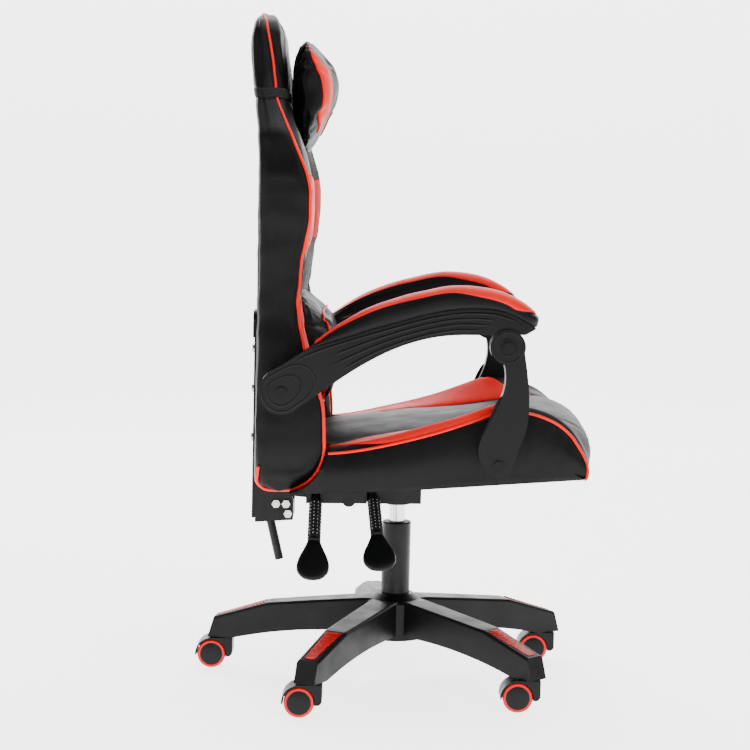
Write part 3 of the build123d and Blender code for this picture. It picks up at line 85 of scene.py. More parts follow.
def make_camera():
    """The camera stands to the sitter's right, a little above the seat."""
    data = bpy.data.cameras.new("camera")
    data.lens = CAMERA_LENS
    data.sensor_width = 36.0
    camera = bpy.data.objects.new("camera", data)
    bpy.context.scene.collection.objects.link(camera)
    back = Vector((0, -math.cos(CAMERA_PITCH), math.sin(CAMERA_PITCH)))
    up = Vector((0, math.sin(CAMERA_PITCH), math.cos(CAMERA_PITCH)))
    right = Vector((1, 0, 0))
    cos_roll, sin_roll = math.cos(CAMERA_ROLL), math.sin(CAMERA_ROLL)
    rolled_right = cos_roll * right - sin_roll * up
    rolled_up = sin_roll * right + cos_roll * up
    turn = Matrix((rolled_right, rolled_up, back)).transposed()
    camera.matrix_world = Matrix.Translation(CAMERA_PLACE) @ turn.to_4x4()
    bpy.context.scene.camera = camera


def area_light(name, place, size, power):
    data = bpy.data.lights.new(name, "AREA")
    data.shape = "RECTANGLE"
    data.size, data.size_y = size
    data.energy = power
    light = bpy.data.objects.new(name, data)
    light.location = place
    light.rotation_mode = "QUATERNION"
    light.rotation_quaternion = (Vector(LIT_MIDDLE) - Vector(place)).to_track_quat("-Z", "Y")
    bpy.context.scene.collection.objects.link(light)


def make_stage():
    """A white floor that curves up into a backdrop, soft boxes and a pale world."""
    floor_half, wall_start, bend, wall_top = 7.0, 3.2, 1.6, 7.0
    profile = [(-6.0, 0.0), (wall_start, 0.0)]
    for step in range(1, 13):
        turn = math.radians(90 * step / 12)
        profile.append((wall_start + bend * math.sin(turn), bend * (1 - math.cos(turn))))
    profile.append((wall_start + bend, wall_top))
    corners = [(x, y, z) for y, z in profile for x in (-floor_half, floor_half)]
    faces = [(2 * i, 2 * i + 1, 2 * i + 3, 2 * i + 2) for i in range(len(profile) - 1)]
    mesh = bpy.data.meshes.new("backdrop")
    mesh.from_pydata(corners, [], faces)
    mesh.shade_smooth()
    mesh.materials.append(stage_white())
    backdrop = bpy.data.objects.new("backdrop", mesh)
    bpy.context.scene.collection.objects.link(backdrop)
    world = bpy.data.worlds.new("world")
    world.use_nodes = True
    ground = world.node_tree.nodes["Background"]
    ground.inputs["Color"].default_value = (1.0, 1.0, 1.0, 1.0)
    ground.inputs["Strength"].default_value = 0.25
    bpy.context.scene.world = world
    for light in LIGHTS:
        area_light(*light)


# ---------------------------------------------------------------- materials

RED = (0.66, 0.0035, 0.0025)
PIPING_RED = (0.74, 0.006, 0.003)
BLACK = (0.0030, 0.0030, 0.0034)
SATIN_BLACK = (0.0035, 0.0035, 0.004)


class Nodes:
    """Shorthand for building a material's node tree."""

    def __init__(self, name):
        self.material = bpy.data.materials.new(name)
        self.material.use_nodes = True
        self.tree = self.material.node_tree
        self.shader = self.tree.nodes["Principled BSDF"]
        self.place = self.add("ShaderNodeTexCoord").outputs["Object"]

    def add(self, kind, **settings):
        node = self.tree.nodes.new(kind)
        for name, value in settings.items():
            setattr(node, name, value)
        return node

    def link(self, source, target):
        self.tree.links.new(source, target)

    def noise(self, scale, detail=3.0, stretch=None, distortion=0.0):
        texture = self.add("ShaderNodeTexNoise")
        texture.inputs["Scale"].default_value = scale
        texture.inputs["Detail"].default_value = detail
        texture.inputs["Distortion"].default_value = distortion
        self.link(self.stretched(stretch), texture.inputs["Vector"])
        return texture.outputs["Fac"]

    def stretched(self, stretch):
        if stretch is None:
            return self.place
        mapping = self.add("ShaderNodeMapping")
        mapping.inputs["Scale"].default_value = stretch
        self.link(self.place, mapping.inputs["Vector"])
        return mapping.outputs["Vector"]

    def cells(self, scale, feature="DISTANCE_TO_EDGE"):
        texture = self.add("ShaderNodeTexVoronoi", feature=feature)
        texture.inputs["Scale"].default_value = scale
        self.link(self.place, texture.inputs["Vector"])
        return texture.outputs["Distance"]

    def between(self, source, low, high, to_low, to_high):
        node = self.add("ShaderNodeMapRange")
        self.link(source, node.inputs["Value"])
        ends = {"From Min": low, "From Max": high, "To Min": to_low, "To Max": to_high}
        for name, value in ends.items():
            node.inputs[name].default_value = value
        return node.outputs["Result"]

    def patches(self, scale, detail=3.0, low=0.0, high=1.0, **settings):
        """Soft patches of noise, spread from low to high."""
        return self.between(self.noise(scale, detail, **settings), 0.3, 0.7, low, high)

    def blend(self, factor, first, second):
        node = self.add("ShaderNodeMix", data_type="RGBA")
        self.link(factor, node.inputs["Factor"])
        for socket, value in zip((node.inputs[6], node.inputs[7]), (first, second)):
            if isinstance(value, tuple):
                socket.default_value = (*value, 1.0)
            else:
                self.link(value, socket)
        return node.outputs[2]

    def bump(self, height, distance, strength=1.0, under=None):
        node = self.add("ShaderNodeBump")
        node.inputs["Distance"].default_value = distance
        node.inputs["Strength"].default_value = strength
        self.link(height, node.inputs["Height"])
        if under is not None:
            self.link(under, node.inputs["Normal"])
        return node.outputs["Normal"]

    def finish(self, colour=None, roughness=None, normal=None, **sockets):
        if colour is not None:
            self.link(colour, self.shader.inputs["Base Color"])
        if roughness is not None:
            self.link(roughness, self.shader.inputs["Roughness"])
        if normal is not None:
            self.link(normal, self.shader.inputs["Normal"])
        for name, value in sockets.items():
            self.shader.inputs[name.replace("_", " ")].default_value = value
        return self.material


def scaled(colour, factor):
    return tuple(min(1.0, c * factor) for c in colour)


def stage_white():
    n = Nodes("stage_white")
    n.finish(
        colour=n.blend(n.noise(0.6), (0.88, 0.88, 0.88), (0.90, 0.90, 0.90)),
        Roughness=0.9,
        Specular_IOR_Level=0.0,
        Emission_Color=(1.0, 1.0, 1.0, 1.0),
        Emission_Strength=3.0,
    )
    return n.material


def leather(name, colour, roughness=0.40, shine=0.10):
    """Synthetic leather: pebbled grain, soft mottling and slightly worn high spots."""
    n = Nodes(name)
    mottle = n.patches(9.0, 4.0)
    worn = n.between(n.noise(36.0, 5.0, distortion=0.4), 0.55, 0.8, 0.0, 0.5)
    tone = n.blend(mottle, scaled(colour, 0.86), scaled(colour, 1.12))
    tone = n.blend(worn, tone, scaled(colour, 1.35))
    grain = n.between(n.cells(760.0), 0.0, 0.35, 0.0, 1.0)
    soft = n.bump(n.noise(55.0, 3.0), 0.0008, 0.35)
    normal = n.bump(grain, 0.00016, 0.7, under=soft)
    rough = n.patches(26.0, 4.0, roughness - 0.05, roughness + 0.07)
    return n.finish(tone, rough, normal, Specular_IOR_Level=shine)


def moulded(name, colour, roughness, grain=420.0, depth=0.00012, shine=0.15):
    """Moulded plastic with a fine spark-eroded texture, flow marks and rubbed spots."""
    n = Nodes(name)
    flow = n.patches(7.0, stretch=(1.0, 1.0, 3.0))
    tone = n.blend(flow, scaled(colour, 0.9), scaled(colour, 1.15))
    scuff = n.between(n.noise(90.0, 6.0, stretch=(1.0, 1.0, 0.3)), 0.62, 0.85, 0.0, 0.6)
    tone = n.blend(scuff, tone, scaled(colour, 1.7))
    rough = n.patches(30.0, 5.0, roughness - 0.06, roughness + 0.08)
    normal = n.bump(n.noise(grain, 2.0), depth, 0.8)
    return n.finish(tone, rough, normal, Specular_IOR_Level=shine)


def metal(name, colour, roughness, brushed=(1.0, 1.0, 1.0), depth=0.00003):
    n = Nodes(name)
    streak = n.noise(180.0, 4.0, stretch=brushed)
    tone = n.blend(n.between(streak, 0.3, 0.7, 0.0, 1.0), scaled(colour, 0.88), colour)
    rough = n.patches(60.0, 4.0, roughness * 0.75, roughness * 1.4)
    return n.finish(tone, rough, n.bump(streak, depth, 0.6), Metallic=1.0)


def coated_steel():
    """Black powder coat: a fine orange peel over steel."""
    n = Nodes("painted_steel")
    peel = n.noise(520.0, 2.0)
    tone = n.blend(n.patches(12.0), (0.002, 0.002, 0.0022), (0.0036, 0.0036, 0.004))
    rough = n.patches(45.0, 4.0, 0.34, 0.5)
    return n.finish(tone, rough, n.bump(peel, 0.00012, 0.7), Specular_IOR_Level=0.2)


def insert_red():
    """Red leg insert with a fine pebbled relief."""
    n = Nodes("insert_red")
    weave = n.cells(170.0, feature="F1")
    tone = n.blend(n.between(weave, 0.1, 0.7, 0.0, 1.0), scaled(RED, 0.62), scaled(RED, 0.95))
    rough = n.patches(40.0, low=0.36, high=0.5)
    return n.finish(tone, rough, n.bump(weave, 0.0005, 0.8), Specular_IOR_Level=0.2)


def webbing():
    """Black elastic strap: ribs across and a fine knit."""
    n = Nodes("strap_black")
    ribs = n.add("ShaderNodeTexWave", wave_type="BANDS", bands_direction="Z")
    ribs.inputs["Scale"].default_value = 130.0
    ribs.inputs["Distortion"].default_value = 0.6
    n.link(n.place, ribs.inputs["Vector"])
    tone = n.blend(ribs.outputs["Fac"], (0.0015, 0.0015, 0.002), (0.005, 0.005, 0.0055))
    rough = n.patches(300.0, low=0.7, high=0.9)
    return n.finish(tone, rough, n.bump(ribs.outputs["Fac"], 0.0004, 0.9), Specular_IOR_Level=0.25)


def tread_red():
    n = Nodes("tread_red")
    tone = n.blend(n.patches(30.0, 4.0), scaled(RED, 0.8), RED)
    rough = n.patches(70.0, 5.0, 0.26, 0.42)
    return n.finish(tone, rough, n.bump(n.noise(240.0), 0.0001, 0.6), Specular_IOR_Level=0.25)


def thread(name, colour):
    n = Nodes(name)
    twist = n.noise(900.0, 2.0)
    tone = n.blend(twist, scaled(colour, 0.7), scaled(colour, 1.2))
    rough = n.between(twist, 0.3, 0.7, 0.55, 0.75)
    return n.finish(tone, rough, n.bump(twist, 0.0002, 0.8), Specular_IOR_Level=0.3)


def ink(name, colour):
    """Printed ink on the lever handles."""
    n = Nodes(name)
    wear = n.between(n.noise(420.0, 3.0), 0.35, 0.75, 0.0, 1.0)
    tone = n.blend(wear, colour, scaled(colour, 0.6))
    rough = n.patches(300.0, low=0.4, high=0.6)
    return n.finish(tone, rough, n.bump(n.noise(600.0), 0.00005, 0.5))


def make_materials():
    """Every finish by name: the material slots' and those of the trim."""
    return {
        "pu_black": leather("pu_black", BLACK, 0.38),
        # black leather painted lighter grey: a painted sheen of the light falling on the seat's top
        "pu_painted_sheen": leather("pu_painted_sheen", (0.009, 0.0085, 0.008), 0.46),
        "pu_red": leather("pu_red", RED, 0.42, 0.08),
        "piping_red": leather("piping_red", PIPING_RED, 0.36, 0.12),
        "nylon_black": moulded("nylon_black", BLACK, 0.40),
        "arm_plastic": moulded("arm_plastic", (0.0045, 0.0045, 0.005), 0.42, grain=520.0),
        "caster_black": moulded("caster_black", SATIN_BLACK, 0.36, grain=600.0),
        "handle_black": moulded("handle_black", SATIN_BLACK, 0.42),
        "insert_red": insert_red(),
        "tread_red": tread_red(),
        "painted_steel": coated_steel(),
        "chrome": metal("chrome", (0.72, 0.73, 0.75), 0.16, brushed=(1.0, 1.0, 0.05)),
        "bright_steel": metal("bright_steel", (0.62, 0.61, 0.58), 0.30),
        "strap_black": webbing(),
        "braid_black": thread("braid_black", (0.004, 0.004, 0.0045)),
        "braid_fleck": thread("braid_fleck", (0.55, 0.55, 0.55)),
        "ink_white": ink("ink_white", (0.80, 0.82, 0.82)),
        "ink_green": ink("ink_green", (0.05, 0.42, 0.16)),
    }


FINISH = make_materials()


def dress_frame():
    """Every CAD node takes the finish of its material slot."""
    for part in frame["record"]["subparts"]:
        node = frame["nodes"][part["node"]]
        node.data.materials.clear()
        node.data.materials.append(FINISH[part["material_slot"]])


# ---------------------------------------------------------------- lines and meshes


def spline(a, b, c, d, t):
    """Place at t between b and c on a smooth curve through four neighbours."""
    bend, twist = 2 * a - 5 * b + 4 * c - d, 3 * b - a - 3 * c + d
    return 0.5 * (2 * b + (c - a) * t + bend * t**2 + twist * t**3)


def smooth_line(points, count, closed=False):
    """Evenly spaced points on a smooth curve through the given ones."""
    p = np.array(points, float)
    if closed:
        padded = np.vstack([p[-1], p, p[0], p[1]])
    else:
        padded = np.vstack([2 * p[0] - p[1], p, 2 * p[-1] - p[-2]])
    t = np.linspace(0, 1, 24, endpoint=False)[:, None]
    runs = zip(padded, padded[1:], padded[2:], padded[3:])
    spans = [spline(a, b, c, d, t) for a, b, c, d in runs]
    dense = np.vstack([*spans, p[:1] if closed else p[-1:]])
    return even(dense, count + 1)[:-1] if closed else even(dense, count)


def even(points, count):
    """The same line as count points at equal distances."""
    steps = np.linalg.norm(np.diff(points, axis=0), axis=1)
    reach = np.concatenate([[0], np.cumsum(steps)])
    places = np.linspace(0, reach[-1], count)
    return np.stack([np.interp(places, reach, column) for column in points.T], axis=1)


def graph(*points):
    """A smooth function through (input, value) pairs that never overshoots."""
    x, y = np.array(points, float).T
    h, slope = np.diff(x), np.diff(y) / np.diff(x)
    m = np.zeros(len(x))
    for i in range(1, len(x) - 1):
        if slope[i - 1] * slope[i] > 0:
            m[i] = 2 * slope[i - 1] * slope[i] / (slope[i - 1] + slope[i])
    m[0], m[-1] = slope[0], slope[-1]

    def value(t):
        t = np.clip(t, x[0], x[-1])
        k = np.clip(np.searchsorted(x, t, side="right") - 1, 0, len(h) - 1)
        s = (t - x[k]) / h[k]
        start = (2 * s**3 - 3 * s**2 + 1) * y[k] + (s**3 - 2 * s**2 + s) * h[k] * m[k]
        return start + (3 * s**2 - 2 * s**3) * y[k + 1] + (s**3 - s**2) * h[k] * m[k + 1]

    return value


def mix(a, b, share):
    return a + (b - a) * share


def fade(value, low, high):
    """0 below low, 1 above high and smooth between them."""
    s = np.clip((value - low) / (high - low), 0.0, 1.0)
    return s * s * (3 - 2 * s)


def groove(across, place, width, depth):
    """Depth of a soft groove, or height of a soft ridge, round a place."""
    return depth * np.exp(-(((across - place) / width) ** 2))


def add_mesh(name, points, faces, finish):
    """A new mesh object from points in millimetres."""
    mesh = bpy.data.meshes.new(name)
    mesh.from_pydata((np.array(points) * MM).tolist(), [], faces)
    mesh.materials.append(FINISH[finish])
    mesh.shade_smooth()
    piece = bpy.data.objects.new(name, mesh)
    bpy.context.scene.collection.objects.link(piece)
    return piece


def tidy_mesh(piece, merge=0.00002):
    """Joins doubled points, drops flat faces and turns all faces outwards."""
    b = bmesh.new()
    b.from_mesh(piece.data)
    bmesh.ops.remove_doubles(b, verts=b.verts, dist=merge)
    bmesh.ops.dissolve_degenerate(b, edges=b.edges, dist=merge)
    bmesh.ops.recalc_face_normals(b, faces=b.faces)
    b.to_mesh(piece.data)
    b.free()
    piece.data.shade_smooth()


def grid_faces(rows, columns, wrap):
    """Quads of a grid of points; wrap joins the last column to the first."""
    quads = []
    for r in range(rows - 1):
        for c in range(columns if wrap else columns - 1):
            near, far = r * columns, (r + 1) * columns
            beside = (c + 1) % columns
            quads.append((near + c, near + beside, far + beside, far + c))
    return quads


def capped_faces(rows, columns):
    """Quads of a closed grid, and one face over each of its ends."""
    last = (rows - 1) * columns
    ends = [tuple(range(columns)), tuple(range(last, last + columns))]
    return grid_faces(rows, columns, True) + ends


def turns(count):
    """Angles at equal steps round a circle."""
    return np.linspace(0, 2 * math.pi, count, endpoint=False)


def settle(piece, body, slot, *nodes):
    """A finished piece rides on its body and stands for its CAD nodes."""
    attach(piece, body)
    if nodes:
        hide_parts(*nodes)
    return piece


CLOTH = {
    "quality": 5,
    "mass": 0.3,
    "tension_stiffness": 12.0,
    "compression_stiffness": 12.0,
    "shear_stiffness": 4.0,
    "bending_stiffness": 0.4,
    "use_pressure": True,
}


def inflate(piece, pinned, pressure, cap, frames=20, slack=0.0):
    """Air pressure swells the cloth between its pinned seams; cap limits the movement."""
    rest = np.array([v.co for v in piece.data.vertices])
    group = piece.vertex_groups.new(name="seams")
    for index, weight in enumerate(pinned):
        if weight > 0:
            group.add([index], float(weight), "REPLACE")
    modifier = piece.modifiers.new("air", "CLOTH")
    cloth = modifier.settings
    for setting, value in CLOTH.items():
        setattr(cloth, setting, value)
    cloth.shrink_min = -slack
    cloth.uniform_pressure_force = pressure
    cloth.effector_weights.gravity = 0.0
    cloth.vertex_group_mass = "seams"
    scene = bpy.context.scene
    for step in range(1, frames + 1):
        scene.frame_set(step)
    swollen = piece.evaluated_get(bpy.context.evaluated_depsgraph_get())
    moved = np.array([v.co for v in swollen.data.vertices]) - rest
    piece.modifiers.remove(modifier)
    piece.vertex_groups.clear()
    scene.frame_set(1)
    far = np.linalg.norm(moved, axis=1, keepdims=True)
    limit = cap * MM
    moved *= np.where(far > 1e-9, limit * np.tanh(far / limit) / np.maximum(far, 1e-9), 1.0)
    piece.data.vertices.foreach_set("co", (rest + moved).ravel())
    piece.data.update()


class Cover:
    """An upholstered surface kept as rows and columns of points, so that panels, piping
    and stitches can be laid on it by row and column after it has been inflated."""

    def __init__(self, name, points, wrap, finish):
        self.points = np.array(points, float)
        self.wrap = wrap
        self.rows, self.columns = self.points.shape[:2]
        faces = grid_faces(self.rows, self.columns, wrap)
        self.piece = add_mesh(name, self.points.reshape(-1, 3), faces, finish)
        self.close()

    def close(self):
        """Fills the open ends, without adding points."""
        b = bmesh.new()
        b.from_mesh(self.piece.data)
        open_edges = [e for e in b.edges if e.is_boundary]
        bmesh.ops.holes_fill(b, edges=open_edges, sides=0)
        bmesh.ops.recalc_face_normals(b, faces=b.faces)
        b.to_mesh(self.piece.data)
        b.free()
        self.piece.data.shade_smooth()

    def inflate(self, seam_rows, seam_columns, pressure, cap, **settings):
        pinned = np.zeros((self.rows, self.columns))
        pinned[list(seam_rows), :] = 1.0
        pinned[:, list(seam_columns)] = 1.0
        inflate(self.piece, pinned.ravel(), pressure, cap, **settings)
        self.reread()

    def reread(self):
        count = self.rows * self.columns
        points = np.array([v.co for v in self.piece.data.vertices[:count]]) / MM
        self.points = points.reshape(self.rows, self.columns, 3)

    def write(self):
        count = self.rows * self.columns
        everything = np.array([v.co for v in self.piece.data.vertices])
        everything[:count] = self.points.reshape(-1, 3) * MM
        self.piece.data.vertices.foreach_set("co", everything.ravel())
        self.piece.data.update()

    def normals(self):
        """Outward direction at each point."""
        if self.wrap:
            across = np.roll(self.points, -1, axis=1) - np.roll(self.points, 1, axis=1)
        else:
            across = np.gradient(self.points, axis=1)
        along = np.gradient(self.points, axis=0)
        n = np.cross(across, along)
        n /= np.maximum(np.linalg.norm(n, axis=2, keepdims=True), 1e-9)
        middle = self.points.reshape(-1, 3).mean(axis=0)
        outward = np.sign(np.sum(n * (self.points - middle)))
        return n * outward

    def at(self, places, lift=0.0):
        """Points of the surface at (row, column) places, lifted off it."""
        places = np.array(places, float)
        source = self.points + lift * self.normals()
        r = np.clip(places[..., 0], 0, self.rows - 1)
        r0 = np.minimum(r.astype(int), self.rows - 2)
        c = places[..., 1]
        if self.wrap:
            c = c % self.columns
            c0 = c.astype(int)
        else:
            c = np.clip(c, 0, self.columns - 1)
            c0 = np.minimum(c.astype(int), self.columns - 2)
        c1 = (c0 + 1) % self.columns
        u, v = (r - r0)[..., None], (c - c0)[..., None]
        low = mix(source[r0, c0], source[r0, c1], v)
        high = mix(source[r0 + 1, c0], source[r0 + 1, c1], v)
        return mix(low, high, u)


PANEL_LIFT, PANEL_TUCK, PANEL_DEPTH = 0.9, 0.6, 1.6   # sewn-on panels stand off, tuck in


def halfway(line, other):
    """The line midway between two lines of places."""
    return [((a + c) / 2, (b + d) / 2) for (a, b), (c, d) in zip(line, other)]


def thicken(piece, depth):
    """Gives an open sheet a back, so that it is closed."""
    modifier = piece.modifiers.new("depth", "SOLIDIFY")
    modifier.thickness = depth * MM
    modifier.offset = -1.0
    apply_modifiers(piece)


def apply_modifiers(piece):
    shown = piece.evaluated_get(bpy.context.evaluated_depsgraph_get())
    old, piece.data = piece.data, bpy.data.meshes.new_from_object(shown)
    piece.modifiers.clear()
    bpy.data.meshes.remove(old)


def tube(name, points, radius, finish, closed=False, sides=8, flat=1.0):
    """A round cord along a line of points. Every ring is square to the line."""
    p = np.array(points, float)
    if closed:
        along = np.roll(p, -1, axis=0) - np.roll(p, 1, axis=0)
    else:
        along = np.gradient(p, axis=0)
    along /= np.maximum(np.linalg.norm(along, axis=1, keepdims=True), 1e-9)
    across_y = abs(along[:, 1]).mean() < 0.8
    guide = np.array([0.0, 1.0, 0.0] if across_y else [0.0, 0.0, 1.0])
    radii = radius * np.ones(len(p))
    turn = turns(sides)[:, None]
    rings = []
    side = np.cross(along[0], guide)
    for place, direction, r in zip(p, along, radii):
        side = side - direction * np.dot(side, direction)
        side /= np.linalg.norm(side)
        other = np.cross(direction, side)
        rings.append(place + r * (np.cos(turn) * side + flat * np.sin(turn) * other))
    if closed:
        faces = grid_faces(len(rings) + 1, sides, True)
        count = len(rings) * sides
        faces = [tuple(corner % count for corner in face) for face in faces]
    else:
        faces = capped_faces(len(rings), sides)
    piece = add_mesh(name, np.vstack(rings), faces, finish)
    tidy_mesh(piece)
    return piece


def stitch_row(name, points, up, pitch, length, thickness, finish):
    """A row of short raised stitches along a line of points; up points off the surface."""
    reach = np.sum(np.linalg.norm(np.diff(points, axis=0), axis=1))
    line = even(np.array(points, float), max(4, int(reach / pitch)))
    corners, faces = [], []
    for place, ahead in zip(line[:-1], line[1:]):
        forward = (ahead - place) / max(np.linalg.norm(ahead - place), 1e-9)
        rise = up - forward * np.dot(up, forward)
        rise /= max(np.linalg.norm(rise), 1e-9)
        side = np.cross(forward, rise)
        base = len(corners)
        for share, swell in ((0.0, 0.35), (0.25, 1.0), (0.75, 1.0), (1.0, 0.35)):
            spot = place + forward * length * share
            half = thickness / 2 * swell
            corners += [spot + side * half, spot + rise * half]
            corners += [spot - side * half, spot - rise * half]
        for ring in range(3):
            for k in range(4):
                a, b = base + 4 * ring + k, base + 4 * ring + (k + 1) % 4
                faces.append((a, b, b + 4, a + 4))
        faces += [(base, base + 3, base + 2, base + 1), tuple(range(base + 12, base + 16))]
    return add_mesh(name, corners, faces, finish)


def join(name, pieces):
    """Several meshes as one piece."""
    target = bmesh.new()
    for piece in pieces:
        target.from_mesh(piece.data)
    mesh = bpy.data.meshes.new(name)
    target.to_mesh(mesh)
    target.free()
    mesh.materials.append(pieces[0].data.materials[0])
    mesh.shade_smooth()
    for piece in pieces:
        bpy.data.objects.remove(piece)
    joined = bpy.data.objects.new(name, mesh)
    bpy.context.scene.collection.objects.link(joined)
    return joined


def ripple(points, size, depth, seed):
    """Soft uneven creases: signed distances, the same in each run."""
    flat = points.reshape(-1, 3)
    values = [noise.noise(Vector(p) / size + Vector((seed, 0, 0))) for p in flat]
    return depth * np.array(values).reshape(points.shape[:-1])


# ---------------------------------------------------------------- backrest

HINGE = pivot("recline")
PAN_RISE = 38.0             # the seat pan's underside above the recline hinge
SEAT_SLOPE = math.tan(math.radians(4.8))
pan_height = HINGE[2] + PAN_RISE
back_low, back_high = span("back_pad")
wing_low, _ = span("back_wings")
BACK_REAR = -236.0
STRAP_DROP = 12.0
STRAP_LIFT = 2.0
STRAP_OVER_PIPING = 3.6
STRAP_DEPTH = 1.3
BACK_PIPING_RADIUS = 3.0
LOBE = (-199.0, pan_height + 60.0, 76.0)    # centre and radius of the wings' feet

# places along the back by height above the pan: ahead of the pad's rear, or out from
# the middle
back_rear_line = graph(
    (-3, -3), (515, -3.2), (579, -7.7), (621, -14.5), (662, -21), (707, -24.7), (735, -24.7),
)
wing_ridge = graph(
    (60, 113), (101, 111), (129, 109), (148, 104), (195, 88), (265, 70), (299, 69),
    (335, 73), (365, 78), (410, 88), (460, 90), (495, 87), (530, 79), (570, 65), (590, 56),
    (645, 36), (705, 30), (743, 26),
)
piping_ahead = graph(
    (60, 112), (101, 110), (129, 108), (148, 102), (195, 85), (267, 66), (299, 63), (332, 66),
    (364, 69), (397, 76), (437, 82), (477, 81), (504, 75), (544, 58), (585, 40), (626, 22.5),
    (652, 17), (704, 9.4), (745, 0.3), (768, -6),
)
face_ahead = graph(
    (-3, 44), (307, 44), (450, 41), (600, 40), (645, 36), (700, 32), (750, 24),
)
half_width = graph(
    (-19, 218), (20, 238), (75, 249), (185, 248), (280, 238), (395, 250), (475, 259), (560, 246),
    (615, 199), (665, 160), (715, 150), (736, 147), (754, 132), (765, 100), (770, 68), (774, 16),
)
valley_out = graph((-19, 156), (555, 156), (625, 118), (685, 96), (783, 50))
valley_depth = graph((-19, 1.0), (560, 1.0), (640, 0.25), (700, 0.0))
CREST_RISE = 722.0          # the crest closes in an arc from here
CREST_DROP = 9.0            # and ends this far below the plain pad's top
CREST_PIPING = ((-244, 78, 5.0), (-245, 42, 2.4), (-245, 0, 1.8))   # X, out, below top
FOOT_CLOSING = 24.0         # height over which the back's foot rounds off
STRAP_PRESS = 2.4           # depth of the strap's mark


# columns of the back's cover that are seams or edges, counted from the middle of the rear
REAR_CORNER, PIPING_COLUMN, RIDGE_COLUMN, VALLEY_COLUMN = 14, 32, 41, 50
FRONT_COLUMNS = 13          # from the valley to the middle of the front


def lobe_reach(z):
    """Half the length of the wings' round feet at a height."""
    return math.sqrt(max(LOBE[2] ** 2 - (z - LOBE[1]) ** 2, 0.0))


def back_section(z, crest_top):
    """Half of the back's outline at a height, from the middle of the rear to the middle
    of the front, as distances (ahead, outwards)."""
    rise = z - pan_height
    out = float(half_width(rise))
    rear = BACK_REAR + float(back_rear_line(rise))
    ridge = BACK_REAR + float(wing_ridge(rise))
    piping = BACK_REAR + float(piping_ahead(rise))
    face = BACK_REAR + float(face_ahead(rise))
    valley = min(float(valley_out(rise)), 0.55 * out)
    bulge = 5.0
    if rise > CREST_RISE:   # the crest closes in an arc
        share = (rise - CREST_RISE) / (crest_top - pan_height - CREST_RISE)
        closing = math.sqrt(max(1 - share**2, 0.0))
        middle = mix((rear + face) / 2, (rear + face) / 2 - 3, share)
        rear, face, ridge = (mix(middle, x, closing) for x in (rear, face, ridge))
        piping = min(max(piping, mix(rear, face, 0.2)), ridge)
        bulge *= closing
    wing_rear = rear
    if z < LOBE[1]:
        reach = lobe_reach(z)
        ridge = min(ridge, LOBE[0] + reach)
        piping = min(piping, ridge - 1)
        wing_rear = max(rear, LOBE[0] - reach)
        share = max(0.0, 1 - (z - wing_low[2]) / FOOT_CLOSING)
        closing = math.sqrt(max(1 - share**2, 0.0))
        middle = (BACK_REAR + face) / 2
        rear, face = mix(middle, rear, closing), mix(middle, face, closing)
    corner = min(20.0, out / 4, (ridge - wing_rear) / 3)
    wing_depth = piping - wing_rear
    ridge_out = mix(valley, out, 0.50)
    dent = float(valley_depth(rise))
    turned = (wing_rear, out - corner - 6)
    seam = (piping, out - 10)
    crown = (ridge, ridge_out)
    sunk = (face - dent, valley)
    middle = (face + bulge, 0)
    side = [
        turned,
        (wing_rear + 0.25 * corner, out - 0.3 * corner - 4),
        (wing_rear + 0.9 * corner, out - 2.5),
        (wing_rear + 0.45 * wing_depth, out - 0.5),
        (wing_rear + 0.72 * wing_depth, out - 0.5),
        (piping - 0.06 * wing_depth, out - 5),
        seam,
    ]
    edge = (mix(piping, ridge, 0.8), mix(out - 10, ridge_out, 0.45))
    inner = (mix(ridge, face, 0.35), mix(ridge_out, valley, 0.55))
    stretches = (
        ([(rear, 0), (mix(rear, wing_rear, 0.5), 0.55 * out), turned], REAR_CORNER),
        (side, PIPING_COLUMN - REAR_CORNER),
        ([seam, edge, crown], RIDGE_COLUMN - PIPING_COLUMN),
        ([crown, inner, sunk], VALLEY_COLUMN - RIDGE_COLUMN),
        ([sunk, (face + 0.6 * bulge, valley * 0.72), middle], FRONT_COLUMNS),
    )
    line = [smooth_line(points, count + 1)[:-1] for points, count in stretches]
    return np.vstack([*line, [middle]])


def back_heights(low, high):
    """Heights of the back's rows, closer together at both ends."""
    foot = low + 40 * (1 - np.cos(np.linspace(0, math.pi / 2, 12)))
    crest = high - 40 * (1 - np.cos(np.linspace(math.pi / 2, 0, 14)))
    return np.concatenate([foot[:-1], np.linspace(foot[-1], crest[0], 84), crest[1:]])


def make_back():
    """The whole back in one cover: rear, side panels, wings, face and head."""
    crest_top = back_high[2] - CREST_DROP
    heights = back_heights(wing_low[2] + 0.4, crest_top - 0.2)
    rows = []
    for z in heights:
        half = back_section(float(z), crest_top)
        lift = (back_low[2] - wing_low[2]) * (1 - fade(z - wing_low[2], 0.0, 60.0))
        # between the lobes the foot ends higher
        lifts = lift * (1 - fade(half[:, 1], 138.0, 152.0))
        right = np.stack([half[:, 0], -half[:, 1], z + lifts], axis=1)
        left = (right * (1, -1, 1))[-2:0:-1]
        rows.append(np.vstack([right, left]))
    cover = Cover("back_cover", rows, True, "pu_black")
    columns = cover.columns
    seams = [REAR_CORNER, PIPING_COLUMN, VALLEY_COLUMN]
    seams += [columns - c for c in seams]
    ends = (0, 1, cover.rows - 2, cover.rows - 1)
    cover.inflate(ends, seams, pressure=2.2, cap=5.0)
    shape_back(cover, heights)
    return cover, heights


